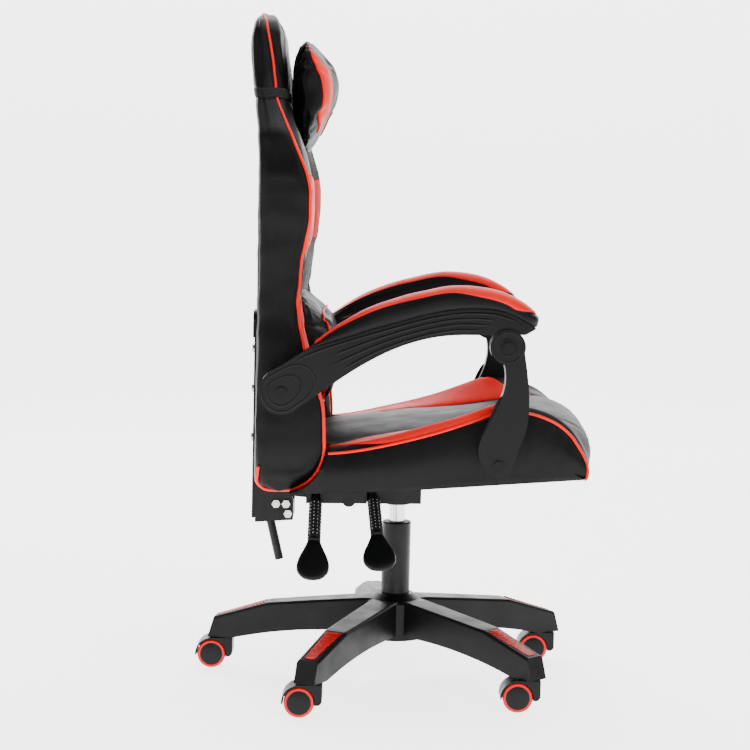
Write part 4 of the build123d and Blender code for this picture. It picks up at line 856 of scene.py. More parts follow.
def shape_back(cover, heights):
    """Pinched seams, the strap's press mark and soft creases."""
    p, n = cover.points, cover.normals()
    columns = np.arange(cover.columns)
    across = np.minimum(columns, cover.columns - columns)
    seam = groove(across, VALLEY_COLUMN, 1.1, 5.0) + groove(across, PIPING_COLUMN, 0.8, 1.6)
    seam = seam[None, :] * fade(heights, heights[0] + 8, heights[0] + 60)[:, None]
    strap = sum(strap_heights()) / 2
    press = groove(heights, strap, 13.0, STRAP_PRESS)[:, None]
    near_strap = 0.4 + np.exp(-np.abs(heights - strap) / 40.0)
    crease = ripple(p * (1, 1, 2.2), 60.0, 1.5, 3.0)
    crease += ripple(p * (1, 1, 3.0), 22.0, 0.5, 9.0) * near_strap[:, None]
    cover.points = p - n * (seam + press + crease)[:, :, None]
    cover.write()


def strap_heights():
    """The head pillow's strap lies a little lower than the plain band of the CAD."""
    low, high = span("head_strap")
    return low[2] - STRAP_DROP, high[2] - STRAP_DROP


def make_strap(cover, heights):
    """Elastic webbing that hugs the head, behind the pillow and round the rear."""
    low, high = strap_heights()
    lifts = STRAP_LIFT * np.array((0.5, 0.9, 1.0, 1.0, 1.0, 0.9, 0.5))
    rows = np.interp(np.linspace(low, high, len(lifts)), heights, np.arange(cover.rows))
    columns = np.arange(cover.columns)
    across = np.minimum(columns, cover.columns - columns)
    over = groove(across, PIPING_COLUMN, 1.3, STRAP_OVER_PIPING)[:, None]
    turn = np.arange(0, cover.columns, 0.5)
    points = [
        cover.at([(row, column) for column in turn], lift + over)
        for row, lift in zip(rows, lifts)
    ]
    faces = grid_faces(len(lifts), len(turn), True)
    strap = add_mesh("head_strap_webbing", np.vstack(points), faces, "strap_black")
    thicken(strap, STRAP_DEPTH)
    settle(strap, "backrest", "strap_black", "head_strap")


SHOULDER_TOP, SHOULDER_MIDDLE, SHOULDER_LOW = 503.0, 447.5, 392.0
# lines of the red panels: outer edge, middle and inner edge, as (rise, column) places
BACK_PANELS = {
    "shoulder": (
        (
            (SHOULDER_TOP + 2, PIPING_COLUMN + 0.4),
            (SHOULDER_MIDDLE, PIPING_COLUMN + 0.4),
            (SHOULDER_LOW - 16, PIPING_COLUMN + 0.6),
        ),
        (
            (SHOULDER_TOP - 6, RIDGE_COLUMN),
            (SHOULDER_MIDDLE, RIDGE_COLUMN),
            (SHOULDER_LOW - 4, RIDGE_COLUMN - 1),
        ),
        (
            (SHOULDER_TOP - 15, VALLEY_COLUMN - 0.6),
            (SHOULDER_MIDDLE, VALLEY_COLUMN - 0.6),
            (SHOULDER_LOW, VALLEY_COLUMN - 1.5),
        ),
    ),
    "waist": (
        ((318, PIPING_COLUMN + 0.4), (200, PIPING_COLUMN + 0.4), (62, PIPING_COLUMN + 0.4)),
        ((318, PIPING_COLUMN + 0.6), (200, PIPING_COLUMN + 4.2), (62, PIPING_COLUMN + 5.2)),
        ((318, PIPING_COLUMN + 0.8), (200, RIDGE_COLUMN - 1), (62, RIDGE_COLUMN + 1)),
    ),
}
PANEL_STEPS = {"shoulder": 60, "waist": 90}


def make_back_trim(cover, heights):
    """Red panels on the wings, and the piping up the sides and over the crest."""
    rows = np.arange(cover.rows)

    def row(rise):
        return float(np.interp(rise + pan_height, heights, rows))

    edge_top = row(back_high[2] - CREST_DROP - 11.0 - pan_height)
    for side, sign in BOTH_SIDES:
        def column(c):
            return c if sign < 0 else cover.columns - c

        for name, lines in BACK_PANELS.items():
            guides = [[(row(rise), column(c)) for rise, c in line] for line in lines]
            count = PANEL_STEPS[name]
            panel = lay_strip(f"{name}_panel_{side}", cover, guides, count, "pu_red")
            settle(panel, "backrest", "pu_red")
        # piping up the front edge, round the foot to the rear
        front = [(r, column(PIPING_COLUMN)) for r in np.linspace(edge_top, 2, 240)]
        under = [(r, column(REAR_CORNER + 3)) for r in np.linspace(2, 12, 14)]
        edge, foot = cover.at(front, 1.6), cover.at(under, 1.2)
        line = smooth_line(np.vstack([edge[::3], foot[::3]]), 420)
        piping = tube(f"back_piping_{side}", line, BACK_PIPING_RADIUS, "piping_red")
        settle(piping, "backrest", "pu_red")
    both = (PIPING_COLUMN, cover.columns - PIPING_COLUMN)
    ends = [cover.at([(edge_top, c)], 1.6)[0] for c in both]
    half = [(x, -out, back_high[2] - CREST_DROP - drop) for x, out, drop in CREST_PIPING]
    over = [(x, -y, z) for x, y, z in half[-2::-1]]
    crest = smooth_line([ends[0], *half, *over, ends[1]], 90)
    piping = tube("back_piping_top", crest, BACK_PIPING_RADIUS, "piping_red")
    settle(piping, "backrest", "pu_red")


def lay_strip(name, cover, lines, count, finish, across=9):
    """A panel that runs through three lines of a cover: two edges and one between."""
    guides = [smooth_line(line, count) for line in lines]
    share = np.linspace(0, 1, across)[None, :, None]
    a, b, c = (g[:, None, :] for g in guides)
    places = np.where(share < 0.5, mix(a, b, 2 * share), mix(b, c, 2 * share - 1))
    top = cover.at(places, PANEL_LIFT)
    sunk = cover.at(places, -PANEL_TUCK)
    rim = np.zeros((count, across), bool)
    rim[0, :] = rim[-1, :] = rim[:, 0] = rim[:, -1] = True
    top[rim] = sunk[rim]
    piece = add_mesh(name, top.reshape(-1, 3), grid_faces(count, across, False), finish)
    thicken(piece, PANEL_DEPTH)
    return piece


# ---------------------------------------------------------------- seat

# stations of the seat from the rear to under its front edge. Each has the side skirt's
# foot, the piping, the bolster's crest, the valley and the middle, as X and the height
# above the pan
SEAT_STATIONS = (
    ((-149, -4), (-121, 60.5), (-121, 68), (-121, 66), (-176, 75)),
    ((-66, -7), (-66, 63.5), (-66, 72), (-66, 72.5), (-100, 86)),
    ((-6, -9), (-6, 71.5), (-6, 80), (-6, 78.5), (-20, 90)),
    ((54, -9), (53, 82.5), (53, 91), (53, 79), (53, 91)),
    ((113, -9), (113, 98), (113, 104.5), (113, 80), (113, 92)),
    ((160, -9), (157, 110.5), (158, 113.5), (160, 83), (165, 94)),
    ((206, -9), (206, 107), (200, 109), (210, 88), (215, 98)),
    ((248, -9), (248, 90), (243, 97), (250, 88), (258, 97)),
    ((275, -9), (274, 69), (276, 77), (290, 73), (292, 81)),
    ((292, -9), (289, 47.7), (295, 55), (311, 55), (313, 61)),
    ((300, -9), (303, 20.4), (308, 26), (319, 33), (322, 37)),
    ((303, -8), (305.2, 0), (309, 1), (314, 6), (318, 10)),
    ((300, -8), (300, -7), (303, -6.5), (306, -6), (309, -7)),
    ((285, 1.5), (285, 1.5), (286, 1.5), (287, 1.5), (288, 1.5)),
)
SEAT_OUT = (239.0, 245.5, 216.0, 166.0, 0.0)
SEAT_TUCK = (285.0, 213.0, 1.5)     # the cover ends under the seat: most X, out, above the pan
SEAT_STEP = 7       # rows from one station to the next
WALL_ROWS = 6       # rows up the rear wall
LOBE_GAP = 2.8      # between the rear wall and the wings' feet
SEAT_PIPING_RADIUS = 2.4


def seat_height(x, above):
    """Height of a place above the seat pan."""
    return pan_height + SEAT_SLOPE * x + above


def seat_section(guides):
    """Half of a row across the seat, from under the skirt's foot to the middle."""
    foot, piping, crest, valley, middle = (
        np.array((x, out, seat_height(x, above))) for (x, above), out in zip(guides, SEAT_OUT)
    )
    tuck_x = min(foot[0], SEAT_TUCK[0])
    tuck = np.array((tuck_x, SEAT_TUCK[1], seat_height(tuck_x, SEAT_TUCK[2])))
    belly = mix(foot, piping, 0.5) + (0, 8.0 * min(1.0, (piping[2] - foot[2]) / 60), 0)
    shoulder = mix(piping, crest, 0.5) + (0, 3.0, 0.08 * (crest[2] - foot[2]))
    slope = mix(crest, valley, 0.55) + (0, 0, 0.5)
    spread = np.linspace(0, 1, 14)
    rear = guides[4][0] < -50
    pad = np.stack(
        [
            mix(middle[0], valley[0], (1 - spread) ** 8 if rear else 1 - fade(spread, 0.0, 1.0)),
            valley[1] * (1 - spread),
            mix(valley[2], middle[2], np.sin(spread * math.pi / 2) ** 0.8),
        ],
        axis=1,
    )
    under = np.linspace(tuck, foot + (0, -3, 0), 3)
    skirt = smooth_line([foot, belly, piping], 12)[:-1]
    bolster = smooth_line([piping, shoulder, crest, slope, valley], 16)[:-1]
    return np.vstack([under, skirt, bolster, pad])


SEAT_FOOT, SEAT_PIPING, SEAT_VALLEY = 3, 14, 29     # columns of the cover's seams
PAINTED_SHEEN_FRONT = 195.0      # ahead of this X the whole front takes the lighter grey leather, a painted sheen


def seat_rows():
    """Every row of the seat: up its rear wall, over its top and down its front."""
    stations = np.array(SEAT_STATIONS, float)
    count = SEAT_STEP * (len(stations) - 1) + 1
    t = np.linspace(0, len(stations) - 1, count)
    guides = np.stack([[spline_at(stations[:, g, axis], t) for axis in (0, 1)] for g in range(5)])
    rows = [seat_section(guides[:, :, r]) for r in range(count)]
    first = rows[0]
    wall = []
    for k in range(WALL_ROWS):
        share = k / WALL_ROWS
        points = first.copy()
        low = seat_height(points[:, 0], 1.5 + 2 * (points[:, 1] < 210))
        bottom = np.minimum(low, first[:, 2])
        points[:, 2] = mix(bottom, first[:, 2], share)
        lobes = points[:, 1] > 152
        reach = np.maximum((LOBE[2] + LOBE_GAP) ** 2 - (points[:, 2] - LOBE[1]) ** 2, 0)
        hollow = LOBE[0] + np.sqrt(reach)
        points[lobes, 0] = np.minimum(hollow, first[:, 0] + 40)[lobes]
        wall.append(points)
    return np.array(wall + rows)


def spline_at(values, t):
    """A smooth curve through evenly numbered values, read at t."""
    v = np.concatenate([[2 * values[0] - values[1]], values, [2 * values[-1] - values[-2]]])
    k = np.minimum(t.astype(int), len(values) - 2)
    s = t - k
    return spline(v[k], v[k + 1], v[k + 2], v[k + 3], s)


def make_seat():
    """The seat in one cover: rear wall, skirts, bolsters, middle and front."""
    half = seat_rows()
    right = half * (1, -1, 1)
    left = half[:, -2::-1]
    cover = Cover("seat_cover", np.concatenate([right, left], axis=1), True, "pu_black")
    last = cover.columns - 1
    seams = [0, SEAT_FOOT, SEAT_PIPING, SEAT_VALLEY]
    seams += [last - c for c in seams]
    rows = list(range(WALL_ROWS + 1)) + list(range(cover.rows - SEAT_STEP, cover.rows))
    cover.inflate(rows, seams, pressure=2.0, cap=5.0)
    p, n = cover.points, cover.normals()
    columns = np.arange(cover.columns)
    across = np.minimum(columns, last - columns)
    seam = groove(across, SEAT_VALLEY, 0.9, 5.0) + groove(across, SEAT_PIPING, 0.7, 1.4)
    ahead = p[:, :, 0]
    open_top = fade(np.arange(cover.rows), WALL_ROWS, WALL_ROWS + 4)[:, None]
    skirt = ((across > SEAT_FOOT) & (across < SEAT_PIPING))[None, :] * fade(ahead, 40.0, 160.0)
    crease = ripple(p * (1, 1, 0.8), 70.0, 1.6, 21.0)
    crease += ripple(p * (2.4, 1, 0.7), 30.0, 1.8, 33.0) * skirt
    crease *= (across > SEAT_FOOT)[None, :]
    cover.points = p - n * (seam[None, :] * open_top + crease * open_top)[:, :, None]
    cover.write()
    # the middle and the front of the top get a lighter grey leather than the rest: a painted sheen of the light
    # falling on the top
    cover.piece.data.materials.append(FINISH["pu_painted_sheen"])
    for polygon in cover.piece.data.polygons:
        row, column = divmod(min(polygon.vertices), cover.columns)
        inwards = min(column, last - column)
        front = WALL_ROWS < row < cover.rows and cover.points[row, column, 0] > PAINTED_SHEEN_FRONT
        if row >= WALL_ROWS and inwards >= (SEAT_PIPING if front else SEAT_VALLEY):
            polygon.material_index = 1
    return cover


# the red flash starts in a point, widens down to the piping, runs along it and ends in a
# point beside the middle: X and the columns of its outer and inner edge
SEAT_FLASH = (
    (-118, 18.6, 19.4),
    (-80, 17.2, 24.0),
    (-38, 15.3, SEAT_VALLEY - 0.8),
    (0, SEAT_PIPING + 0.5, SEAT_VALLEY - 0.6),
    (75, SEAT_PIPING + 0.5, SEAT_VALLEY - 0.6),
    (150, SEAT_PIPING + 0.5, SEAT_VALLEY - 0.6),
    (198, mix(SEAT_PIPING, SEAT_VALLEY, 0.45), SEAT_VALLEY - 0.6),
    (243, SEAT_VALLEY - 1.0, SEAT_VALLEY - 0.6),
)


def make_seat_trim(cover):
    """A red flash and a piping along each side of the seat."""
    last = cover.columns - 1
    top_rows = slice(WALL_ROWS, WALL_ROWS + 7 * SEAT_STEP + 1)

    def place(x, column):
        """The (row, column) place at X on the seat's top."""
        lines = cover.points[top_rows, :, 0]
        k = int(column)
        line = mix(lines[:, k], lines[:, min(k + 1, last)], column - k)
        return float(np.interp(x, line, np.arange(len(line)))) + WALL_ROWS, column

    for side, sign in BOTH_SIDES:
        def column(c):
            return c if sign < 0 else last - c

        outer = [place(x, column(a)) for x, a, _ in SEAT_FLASH]
        inner = [place(x, column(b)) for x, _, b in SEAT_FLASH]
        lines = (outer, halfway(outer, inner), inner)
        flash = lay_strip(f"seat_flash_{side}", cover, lines, 110, "pu_red", across=15)
        settle(flash, "seat", "pu_red")
        front = cover.rows - 1.4 - SEAT_STEP
        rows = np.linspace(WALL_ROWS + 0.5, front, 260)
        line = cover.at([(row, column(SEAT_PIPING)) for row in rows], 1.6)
        piping = tube(f"seat_piping_{side}", line[::2], SEAT_PIPING_RADIUS, "piping_red")
        settle(piping, "seat", "pu_red")


# ---------------------------------------------------------------- pillows


PILLOW_RIM, PILLOW_FRONT, PILLOW_AROUND = 12, 27, 128    # rings behind and ahead, columns
CRESCENT_REACH = 17.5       # columns from the middle of the side to the crescent's tips


def pillow_outline(half_out, half_up, squareness, waist, count):
    """Rounded rectangle whose sides pull in a little, as (outwards, up)."""
    turn = turns(count)
    c, s = np.cos(turn), np.sin(turn)
    out = np.sign(c) * np.abs(c) ** (2 / squareness) * half_out
    up = np.sign(s) * np.abs(s) ** (2 / squareness) * half_up
    pull = 1 - waist * (np.cos(2 * turn) ** 2)
    return np.stack([out * pull, up * pull], axis=1)


def make_pillow(node, rim_share, belly_up, wedge, press=0.0, less=0.0):
    """A stuffed pillow: rings from the middle of its rear over the rim to the front. Its
    sides are boxy. wedge says how far it thins towards its top and foot, belly_up how far
    its fullest place stands above the middle, less how much it stays behind the CAD."""
    low, high = span(node)
    centre_up = (low[2] + high[2]) / 2
    half_out, half_up = (high[1] - low[1]) / 2, (high[2] - low[2]) / 2
    rim = mix(low[0], high[0], rim_share)
    outline = pillow_outline(half_out, half_up, 4.2, 0.035, PILLOW_AROUND)
    rings = []

    def ring(x, share, middle):
        spots = outline * share + (0, middle)
        rings.append(np.column_stack([x * np.ones(PILLOW_AROUND), spots]))

    for k in range(1, PILLOW_RIM + 1):
        share = math.sin(math.pi / 2 * k / (PILLOW_RIM + 1))
        ring(rim - (rim - low[0]) * (1 - share**5) ** 0.6, share, centre_up)
    for k in range(PILLOW_FRONT):
        share = math.cos(math.pi / 2 * k / PILLOW_FRONT)
        thin = 1 - wedge * np.abs(outline[:, 1] * share / half_up) ** 1.6
        depth = (high[0] - less - rim) * (1 - share**6) ** 0.5 * thin
        ring(rim + depth, share, centre_up + belly_up * (1 - share) ** 0.8)
    cover = Cover(f"{node}_cover", rings, True, "pu_black")
    cover.inflate((PILLOW_RIM,), (), pressure=3.0, cap=6.0, slack=0.05)
    p, n = cover.points, cover.normals()
    from_rim = np.arange(cover.rows) - PILLOW_RIM
    near_rim = np.exp(-np.abs(from_rim) / 5.0)[:, None]

    def pleats(size, seed):
        angles = turns(PILLOW_AROUND)
        spots = [(math.cos(a) * size, math.sin(a) * size, seed) for a in angles]
        return np.array([noise.noise(Vector(spot)) for spot in spots])

    gathers = pleats(9, 4.0 + press) + 0.6 * pleats(21, 8.0)
    seam = groove(from_rim, 0, 0.8, 2.0)[:, None]
    soft = ripple(p, 45.0, 2.4, 5.0) * (1 - near_rim)
    cover.points = p - n * (seam + gathers[None, :] * 5.0 * near_rim + soft)[:, :, None]
    cover.write()
    settle(cover.piece, "backrest", "pu_black", node)
    return cover


def ring_cord(name, cover, row, lift, radius, finish, slot):
    """A cord that runs round a pillow on one of its rings."""
    columns = np.linspace(0, PILLOW_AROUND, 240, endpoint=False)
    line = cover.at([(row, c) for c in columns], lift)
    settle(tube(name, line, radius, finish, closed=True), "backrest", slot)


def make_pillows():
    cover = make_pillow("head_pillow", rim_share=0.26, belly_up=22.0, wedge=0.72, less=9.0)
    spots = np.linspace(-CRESCENT_REACH, CRESCENT_REACH, 9)
    curve = np.cos(np.linspace(-math.pi / 2, math.pi / 2, 9))
    for side, sign in BOTH_SIDES:
        middle = PILLOW_AROUND / 2 if sign < 0 else 0.0
        lean = fade(-sign * spots / CRESCENT_REACH, 0.0, 1.0)   # to the front, at its foot

        def edge(bow, shift, squeeze):
            """An edge of the crescent: how far it bows forward, leans and draws in."""
            return [
                (PILLOW_RIM + 1.0 + bow * c + shift * f, middle + s * (1 - squeeze * c))
                for s, c, f in zip(spots, curve, lean)
            ]

        outer, inner = edge(5.2, 9.0, 0.10), edge(14.0, 12.0, 0.16)
        lines = (outer, halfway(outer, inner), inner)
        name = f"head_pillow_crescent_{side}"
        settle(lay_strip(name, cover, lines, 70, "pu_red", across=13), "backrest", "pu_red")
    ring_cord("head_pillow_seam", cover, PILLOW_RIM, 0.6, 1.1, "pu_black", "pu_black")
    cover = make_pillow("lumbar_pillow", rim_share=0.22, belly_up=-8.0, wedge=0.45, press=2.0)
    ring_cord("lumbar_pillow_piping", cover, PILLOW_RIM + 12, 1.0, 2.0, "piping_red", "pu_red")


# ---------------------------------------------------------------- armrests

ARM_REAR = pivot("arm_swing_right")
ARM_FRONT = pivot("support_swing_right") + ARM_REAR - HINGE
ARM_FOOT = pivot("support_swing_right")
# side lines of the armrest, as (X, Z) places from its rear or its front pivot
PAD_SEAM = (
    (ARM_REAR, ((42, 71), (159, 108))),
    (ARM_FRONT, ((-118, 51.5), (-58, 59.5), (-8, 55.5), (45, 30.5))),
)
PAD_TOP = (
    (ARM_REAR, ((42, 71), (96, 112), (159, 145))),
    (
        ARM_FRONT,
        ((-119, 88.5), (-70, 94), (-17, 87), (22, 70.5), (46, 52), (49, 44), (45, 30.5)),
    ),
)
CARRIER_TOP = (
    (ARM_REAR, ((-16, 32), (42, 68), (159, 105))),
    (ARM_FRONT, ((-118, 48.5), (-58, 56.5), (-8, 52.5), (40, 29))),
)
CARRIER_UNDER = (
    (ARM_REAR, ((22, -28), (102, 30), (170, 70))),
    (ARM_FRONT, ((-104, 16.5), (-41, 19.5), (20, 22))),
)
PAD_SIDES, PAD_ROWS = 56, 92
# the red top's edges: share of the pad's length, and height on its side
PAD_SHARES = (
    (0.02, 0.90), (0.2, 0.84), (0.45, 0.80), (0.60, 0.78),
    (0.71, 0.64), (0.82, 0.54), (0.90, 0.55), (0.945, 0.97),
)
# ribs along the carrier: share from its top to its underside, first and last place
CARRIER_RIBS = ((0.10, 6, 97), (0.34, 22, 94), (0.58, 20, 92), (0.82, 24, 88))
SUPPORT_DROP = (
    (-1, -16), (11, -8), (20, 12), (24, 38), (16, 74),
    (6, 112), (-8, 96), (-20, 62), (-27, 26), (-19, 0),
)


def side_places(*groups):
    """(X, Z) places given ahead of and above one of the arm's pivots."""
    return [(base[0] + x, base[2] + z) for base, places in groups for x, z in places]


def make_arm_pad(side, sign):
    """Padded armrest: rounded sections between its seam and its top."""
    low, high = span(f"arm_pad_{side}")
    middle, half = (low[1] + high[1]) / 2, (high[1] - low[1]) / 2
    seam = smooth_line(side_places(*PAD_SEAM), PAD_ROWS)
    top = smooth_line(side_places(*PAD_TOP), PAD_ROWS)
    turn = np.linspace(-math.pi / 2, 1.5 * math.pi, PAD_SIDES, endpoint=False)
    c, s = np.cos(turn), np.sin(turn)
    power = np.where(s > 0, 2.5, 4.5)
    out = np.sign(c) * np.abs(c) ** (2 / power)
    rise = 0.5 + 0.5 * np.sign(s) * np.abs(s) ** (2 / power)
    rows = []
    for row in range(1, PAD_ROWS - 1):
        along = row / (PAD_ROWS - 1)
        ends = min(1.0, along / 0.10, (1 - along) / 0.075)
        width = half * (1 - (1 - ends) ** 2.4 * 0.75)
        spot = seam[row] + (top[row] - seam[row]) * rise[:, None]
        rows.append(np.column_stack([spot[:, 0], middle + sign * width * out, spot[:, 1]]))
    cover = Cover(f"arm_pad_cover_{side}", rows, True, "pu_black")
    ends = (0, 1, cover.rows - 2, cover.rows - 1)
    cover.inflate(ends, (0, PAD_SIDES // 2), pressure=1.2, cap=1.6, frames=8)
    cover.points -= cover.normals() * ripple(cover.points, 38.0, 0.9, 12.0)[:, :, None]
    cover.write()
    settle(cover.piece, f"arm_{side}", "pu_black", f"arm_pad_{side}")

    def column(share, outer):
        """Column where the pad's side reaches a share of its height."""
        angle = math.asin(abs(2 * share - 1) ** 1.25)
        turned = PAD_SIDES / 4 + angle / (2 * math.pi) * PAD_SIDES
        return turned if outer else PAD_SIDES - turned

    last = cover.rows - 1
    outer = [(along * last, column(share, True)) for along, share in PAD_SHARES]
    inner = [(along * last, column(share, False)) for along, share in PAD_SHARES]
    crown = [(along * last, PAD_SIDES / 2) for along, _ in PAD_SHARES]
    lines = (outer, crown, inner)
    strip = lay_strip(f"arm_pad_top_{side}", cover, lines, 120, "pu_red", across=21)
    settle(strip, f"arm_{side}", "pu_red")
    for edge, line in (("outer", outer), ("inner", inner)):
        welt = cover.at(smooth_line(line, 160), 0.5)
        cord = tube(f"arm_pad_welt_{edge}_{side}", welt, 1.1, "pu_black")
        settle(cord, f"arm_{side}", "pu_black")


def round_line(middle, reach, count):
    """(X, Z) places round a middle on an upright face."""
    x, _, z = middle
    return [(x + reach * math.cos(t), z + reach * math.sin(t)) for t in turns(count)]


def face_ridge(places, face, radius, closed=False, height=0.6):
    """A moulded ridge along (X, Z) places on an upright face. Open ends taper off."""
    line = smooth_line(places, 110, closed)
    points = np.column_stack([line[:, 0], np.full(len(line), face), line[:, 1]])
    size = radius
    if not closed:
        share = np.linspace(0, 1, len(line))
        size = radius * np.clip(np.minimum(share, 1 - share) / 0.08, 0.15, 1.0)
    return tube("ridge", points, size, "arm_plastic", closed=closed, sides=10, flat=height)


def dome(outline, face, out, height, finish, power):
    """A low dome on an upright face, over a closed (X, Z) outline."""
    line = smooth_line(outline, 72, closed=True)
    middle = line.mean(axis=0)
    rows = []

    def ring(share, y):
        spot = middle + (line - middle) * share
        rows.append(np.column_stack([spot[:, 0], np.full(72, y), spot[:, 1]]))

    ring(1.0, face - out)
    for k in range(9):
        share = math.cos(math.pi / 2 * k / 9)
        ring(share, face + out * height * (1 - share**2) ** power)
    piece = add_mesh("dome", np.vstack(rows), capped_faces(len(rows), 72), finish)
    tidy_mesh(piece)
    return piece


def make_arm_relief(side, sign):
    """Ribs along the carrier, rings at its rear eye and the support's moulded drop."""
    low, high = span(f"arm_carrier_{side}")
    outer, inner = (high[1], low[1]) if sign > 0 else (low[1], high[1])
    top = smooth_line(side_places(*CARRIER_TOP), 100)
    under = smooth_line(side_places(*CARRIER_UNDER), 100)
    ridges = []
    for face in (outer, inner):
        for share, start, end in CARRIER_RIBS:
            line = mix(top, under, share)[start:end:6]
            ridges.append(face_ridge(line, face, 2.2, height=0.55))
        for reach in (31.5, 22.0):
            ring = []
            for turn in turns(16):
                ahead = max(0.0, math.cos(turn - math.radians(33)))
                r = reach * (1 + 0.9 * ahead**3 * reach / 31.5)
                ring.append((ARM_REAR[0] + r * math.cos(turn), ARM_REAR[2] + r * math.sin(turn)))
            ridges.append(face_ridge(ring, face, 1.7, closed=True))
    settle(join(f"carrier_relief_{side}", ridges), f"arm_{side}", "arm_plastic")

    low, high = span(f"arm_support_{side}")
    cheek = high[1] if sign > 0 else low[1]
    outline = side_places((ARM_FOOT, SUPPORT_DROP))
    pieces = [dome(outline, outer, sign, 2.6, "arm_plastic", power=0.7)]
    pieces.append(face_ridge(outline, outer, 1.6, closed=True, height=0.9))
    upper, lower = ((2, -30), (9, -60), (8, -92)), ((12, 78), (30, 40))
    crease = side_places((ARM_FRONT, upper), (ARM_FOOT, lower))
    pieces.append(face_ridge(crease, outer, 1.8, height=0.7))
    for reach, size in ((24.5, 1.5), (13.5, 1.2)):
        ring = round_line(ARM_FRONT, reach, 16)
        pieces.append(face_ridge(ring, cheek, size, closed=True))
    settle(join(f"support_relief_{side}", pieces), f"support_{side}", "arm_plastic")


# ---------------------------------------------------------------- levers

LEVERS = {"height": (37.0, 5.0), "recline": (45.0, 0.0)}    # slope and splay, degrees
SLEEVE_START, SLEEVE_END, SLEEVE_RADIUS = 48.0, 126.0, 9.5
PADDLE_THICKNESS = 9.0
PADDLE_OUTLINE = (
    (9.5, 0), (17, -19.5), (24.5, -38), (27.5, -53), (25, -66), (15.5, -76.5), (0, -80),
)
# the handle's rings, from the middle of one face round the rim to the other, dished face:
# height as a share of the thickness, and size as a share of the outline
PADDLE_RINGS = (
    (-0.5, 0.02), (-0.5, 0.55), (-0.48, 0.86), (-0.36, 0.96), (-0.12, 1.0), (0.12, 1.0),
    (0.36, 0.96), (0.48, 0.86), (0.40, 0.74), (0.38, 0.4), (0.38, 0.02),
)
BRAID_TURNS, BRAID_STRANDS = 3.4, 8
# flat shapes of the signs, as (across, along) places
SEAT_SIGN = (
    ((-7, -9), (-3.6, -10), (-0.6, 1), (-3.6, 3.4)),
    ((-3.6, 0.4), (8.2, 0.4), (8.2, 4), (-3.2, 4)),
    ((1.2, 4), (3.4, 4), (3.4, 9.4), (1.2, 9.4)),
    ((-3, 9.4), (7.6, 9.4), (7.6, 11.2), (-3, 11.2)),
)
ARROW_SIGNS = {
    "height": (
        ((12.2, -2), (14.6, -6), (17, -2)),
        ((13.9, -2), (15.3, -2), (15.3, 5), (13.9, 5)),
        ((12.2, 5), (17, 5), (14.6, 9)),
    ),
    "recline": (
        ((-15.5, -6), (-11, -10), (-9.6, -4.4)),
        ((-13, -6.6), (-11.4, -5.4), (-9.8, 3.2), (-11.4, 3.6)),
        ((-13.4, 3.0), (-8, 2.2), (-9.6, 7.4)),
    ),
}


def lever_frame(name):
    """Hinge point and the lever's own directions: across, outwards of its face, along."""
    slope, splay = (math.radians(angle) for angle in LEVERS[name])
    level = np.array((0, -math.cos(slope), -math.sin(slope)))
    along = level * math.cos(splay) + np.array((math.sin(splay), 0, 0))
    across = np.array((math.cos(splay), 0, 0)) - level * math.sin(splay)
    face = np.cross(across, along)
    return pivot(f"{name}_lever_pull"), across, face / np.linalg.norm(face), along


def make_sleeve(name, origin, across, face, along):
    """The braided sleeve of a lever with its pale flecks, and a collar at each end."""
    body = f"{name}_lever"
    strands = []
    steps = np.linspace(0, 1, 70)
    reach = mix(SLEEVE_START, SLEEVE_END + 1.5, steps)[:, None]
    twist = 2 * math.pi * BRAID_TURNS * steps
    for hand in (1, -1):
        weave = SLEEVE_RADIUS + 0.2 + 0.55 * hand * np.cos(twist * BRAID_STRANDS)
        for strand in range(BRAID_STRANDS):
            start = 2 * math.pi * (strand + 0.25 * (hand > 0)) / BRAID_STRANDS
            x, y = weave * np.cos(hand * twist + start), weave * np.sin(hand * twist + start)
            line = origin + along * reach + across * x[:, None] + face * y[:, None]
            strands.append(tube("strand", line, 1.55, "braid_black", sides=6, flat=0.8))
    settle(join(f"{name}_lever_braid", strands), body, "braid_black")
    flecks = []
    reach = np.linspace(SLEEVE_START + 4, SLEEVE_END - 3, 40)[:, None]
    for turn in turns(10) + math.pi / 20:
        out = across * math.cos(turn) + face * math.sin(turn)
        line = origin + out * (SLEEVE_RADIUS + 1.3) + along * reach
        flecks.append(stitch_row("fleck", line, out, 6.2, 2.4, 1.7, "braid_fleck"))
    settle(join(f"{name}_lever_flecks", flecks), body, "braid_black")
    collars = []
    swell = np.array((0.93, 1.0, 1.02, 1.02, 1.0, 0.93))
    for start, radius, length in ((SLEEVE_START - 0.5, 10.6, 5.0), (SLEEVE_END - 3.0, 11.0, 7.0)):
        line = origin + along * np.linspace(start, start + length, 6)[:, None]
        collars.append(tube("collar", line, radius * swell, "handle_black", sides=32))
    settle(join(f"{name}_lever_collars", collars), body, "handle_black")


def make_lever(name):
    origin, across, face, along = lever_frame(name)
    make_sleeve(name, origin, across, face, along)
    # the handle: a flat drop with a rounded rim and a shallow dished face
    outline = [*PADDLE_OUTLINE, *((-x, y) for x, y in PADDLE_OUTLINE[-2::-1])]
    line = smooth_line(outline, 96)
    middle = np.array((0, -48.0))
    rows = []
    for level, shrink in PADDLE_RINGS:
        spot = middle + (line - middle) * shrink
        height = level * PADDLE_THICKNESS * (1 + 0.25 * (abs(level) > 0.3))
        flat = across * spot[:, :1] + along * (SLEEVE_END - spot[:, 1:])
        rows.append(origin + flat + face * height)
    faces = capped_faces(len(rows), len(line))
    paddle = add_mesh(f"{name}_paddle", np.vstack(rows), faces, "handle_black")
    tidy_mesh(paddle)
    settle(paddle, f"{name}_lever", "handle_black", f"{name}_lever_paddle")
    dish = 0.38 * 1.25 * PADDLE_THICKNESS
    middle = origin + along * (SLEEVE_END + 50.0) + face * dish
    make_signs(name, middle, across, along, face)


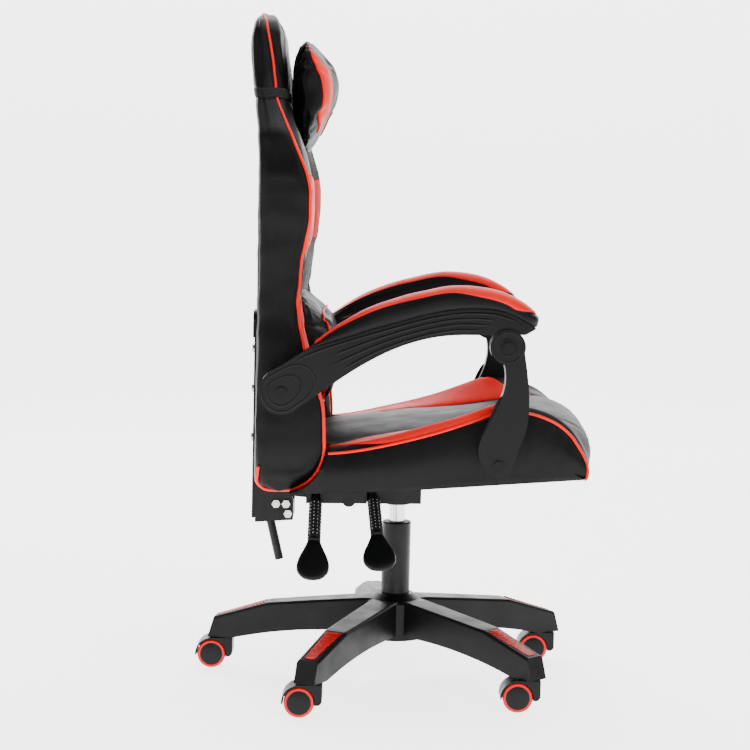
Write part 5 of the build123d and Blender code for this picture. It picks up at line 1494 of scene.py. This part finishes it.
def make_signs(name, middle, across, along, face):
    """Generic signs: a white seat and green arrows for the way that it moves."""
    signs = (("seat", SEAT_SIGN, "ink_white"), ("arrow", ARROW_SIGNS[name], "ink_green"))
    for label, shapes, finish in signs:
        parts = []
        for shape in shapes:
            rows = [
                [middle + across * x + along * y + face * lift for x, y in shape]
                for lift in (-0.5, 0.45)
            ]
            part = add_mesh("sign", np.vstack(rows), capped_faces(2, len(shape)), finish)
            tidy_mesh(part)
            part.data.shade_flat()
            parts.append(part)
        sign = settle(join(f"{name}_sign_{label}", parts), f"{name}_lever", "handle_black")
        sign.data.shade_flat()


# ---------------------------------------------------------------- base and casters

FIRST_LEG, LEGS = math.radians(27.6), 5
INSERT_START, INSERT_END = np.array((231.0, 121.4)), np.array((314.0, 93.6))
CHEVRONS = 12


def make_base_details():
    """Chevrons on the leg inserts and domed caps on the casters' wheels."""
    ridges = []
    slope = INSERT_END - INSERT_START
    for leg in range(LEGS):
        turn = FIRST_LEG + 2 * math.pi * leg / LEGS
        ahead = np.array((math.cos(turn), math.sin(turn), 0.0))
        across = np.array((-math.sin(turn), math.cos(turn), 0.0))
        for k in range(1, CHEVRONS + 1):
            share = k / (CHEVRONS + 1)
            half = mix(12.5, 8.0, share)
            tip = INSERT_START + slope * share
            tail = INSERT_START + slope * max(0.0, share - 0.055)
            line = [
                ahead * spot[0] + across * side * half + (0, 0, spot[1] + 0.6)
                for spot, side in ((tail, -1), (tip, 0), (tail, 1))
            ]
            ridges.append(tube("chevron", even(np.array(line), 9), 0.9, "insert_red", sides=6))
    settle(join("insert_chevrons", ridges), "base", "insert_red")
    for number in range(1, LEGS + 1):
        low, high = span(f"caster_wheels_{number}")
        middle = (low + high) / 2
        ring = round_line(middle, (high[0] - low[0]) / 2 - 1.2, 24)
        caps = [
            dome(ring, face, sign, 1.3, "caster_black", power=0.9)
            for face, sign in ((low[1], -1), (high[1], 1))
        ]
        settle(join(f"caster_caps_{number}", caps), f"wheels_{number}", "caster_black")


# ---------------------------------------------------------------- the whole chair


def corners(bounds):
    return [list(corner) for corner in bounds]


make_camera()
make_stage()
dress_frame()
back, back_row_heights = make_back()
settle(back.piece, "backrest", "pu_black", "back_pad", "back_wings")
make_back_trim(back, back_row_heights)
make_strap(back, back_row_heights)
seat = make_seat()
settle(seat.piece, "seat", "pu_black", "seat_pad", "seat_bolsters")
make_seat_trim(seat)
make_pillows()
for side, sign in BOTH_SIDES:
    make_arm_pad(side, sign)
    make_arm_relief(side, sign)
for lever in LEVERS:
    make_lever(lever)
make_base_details()
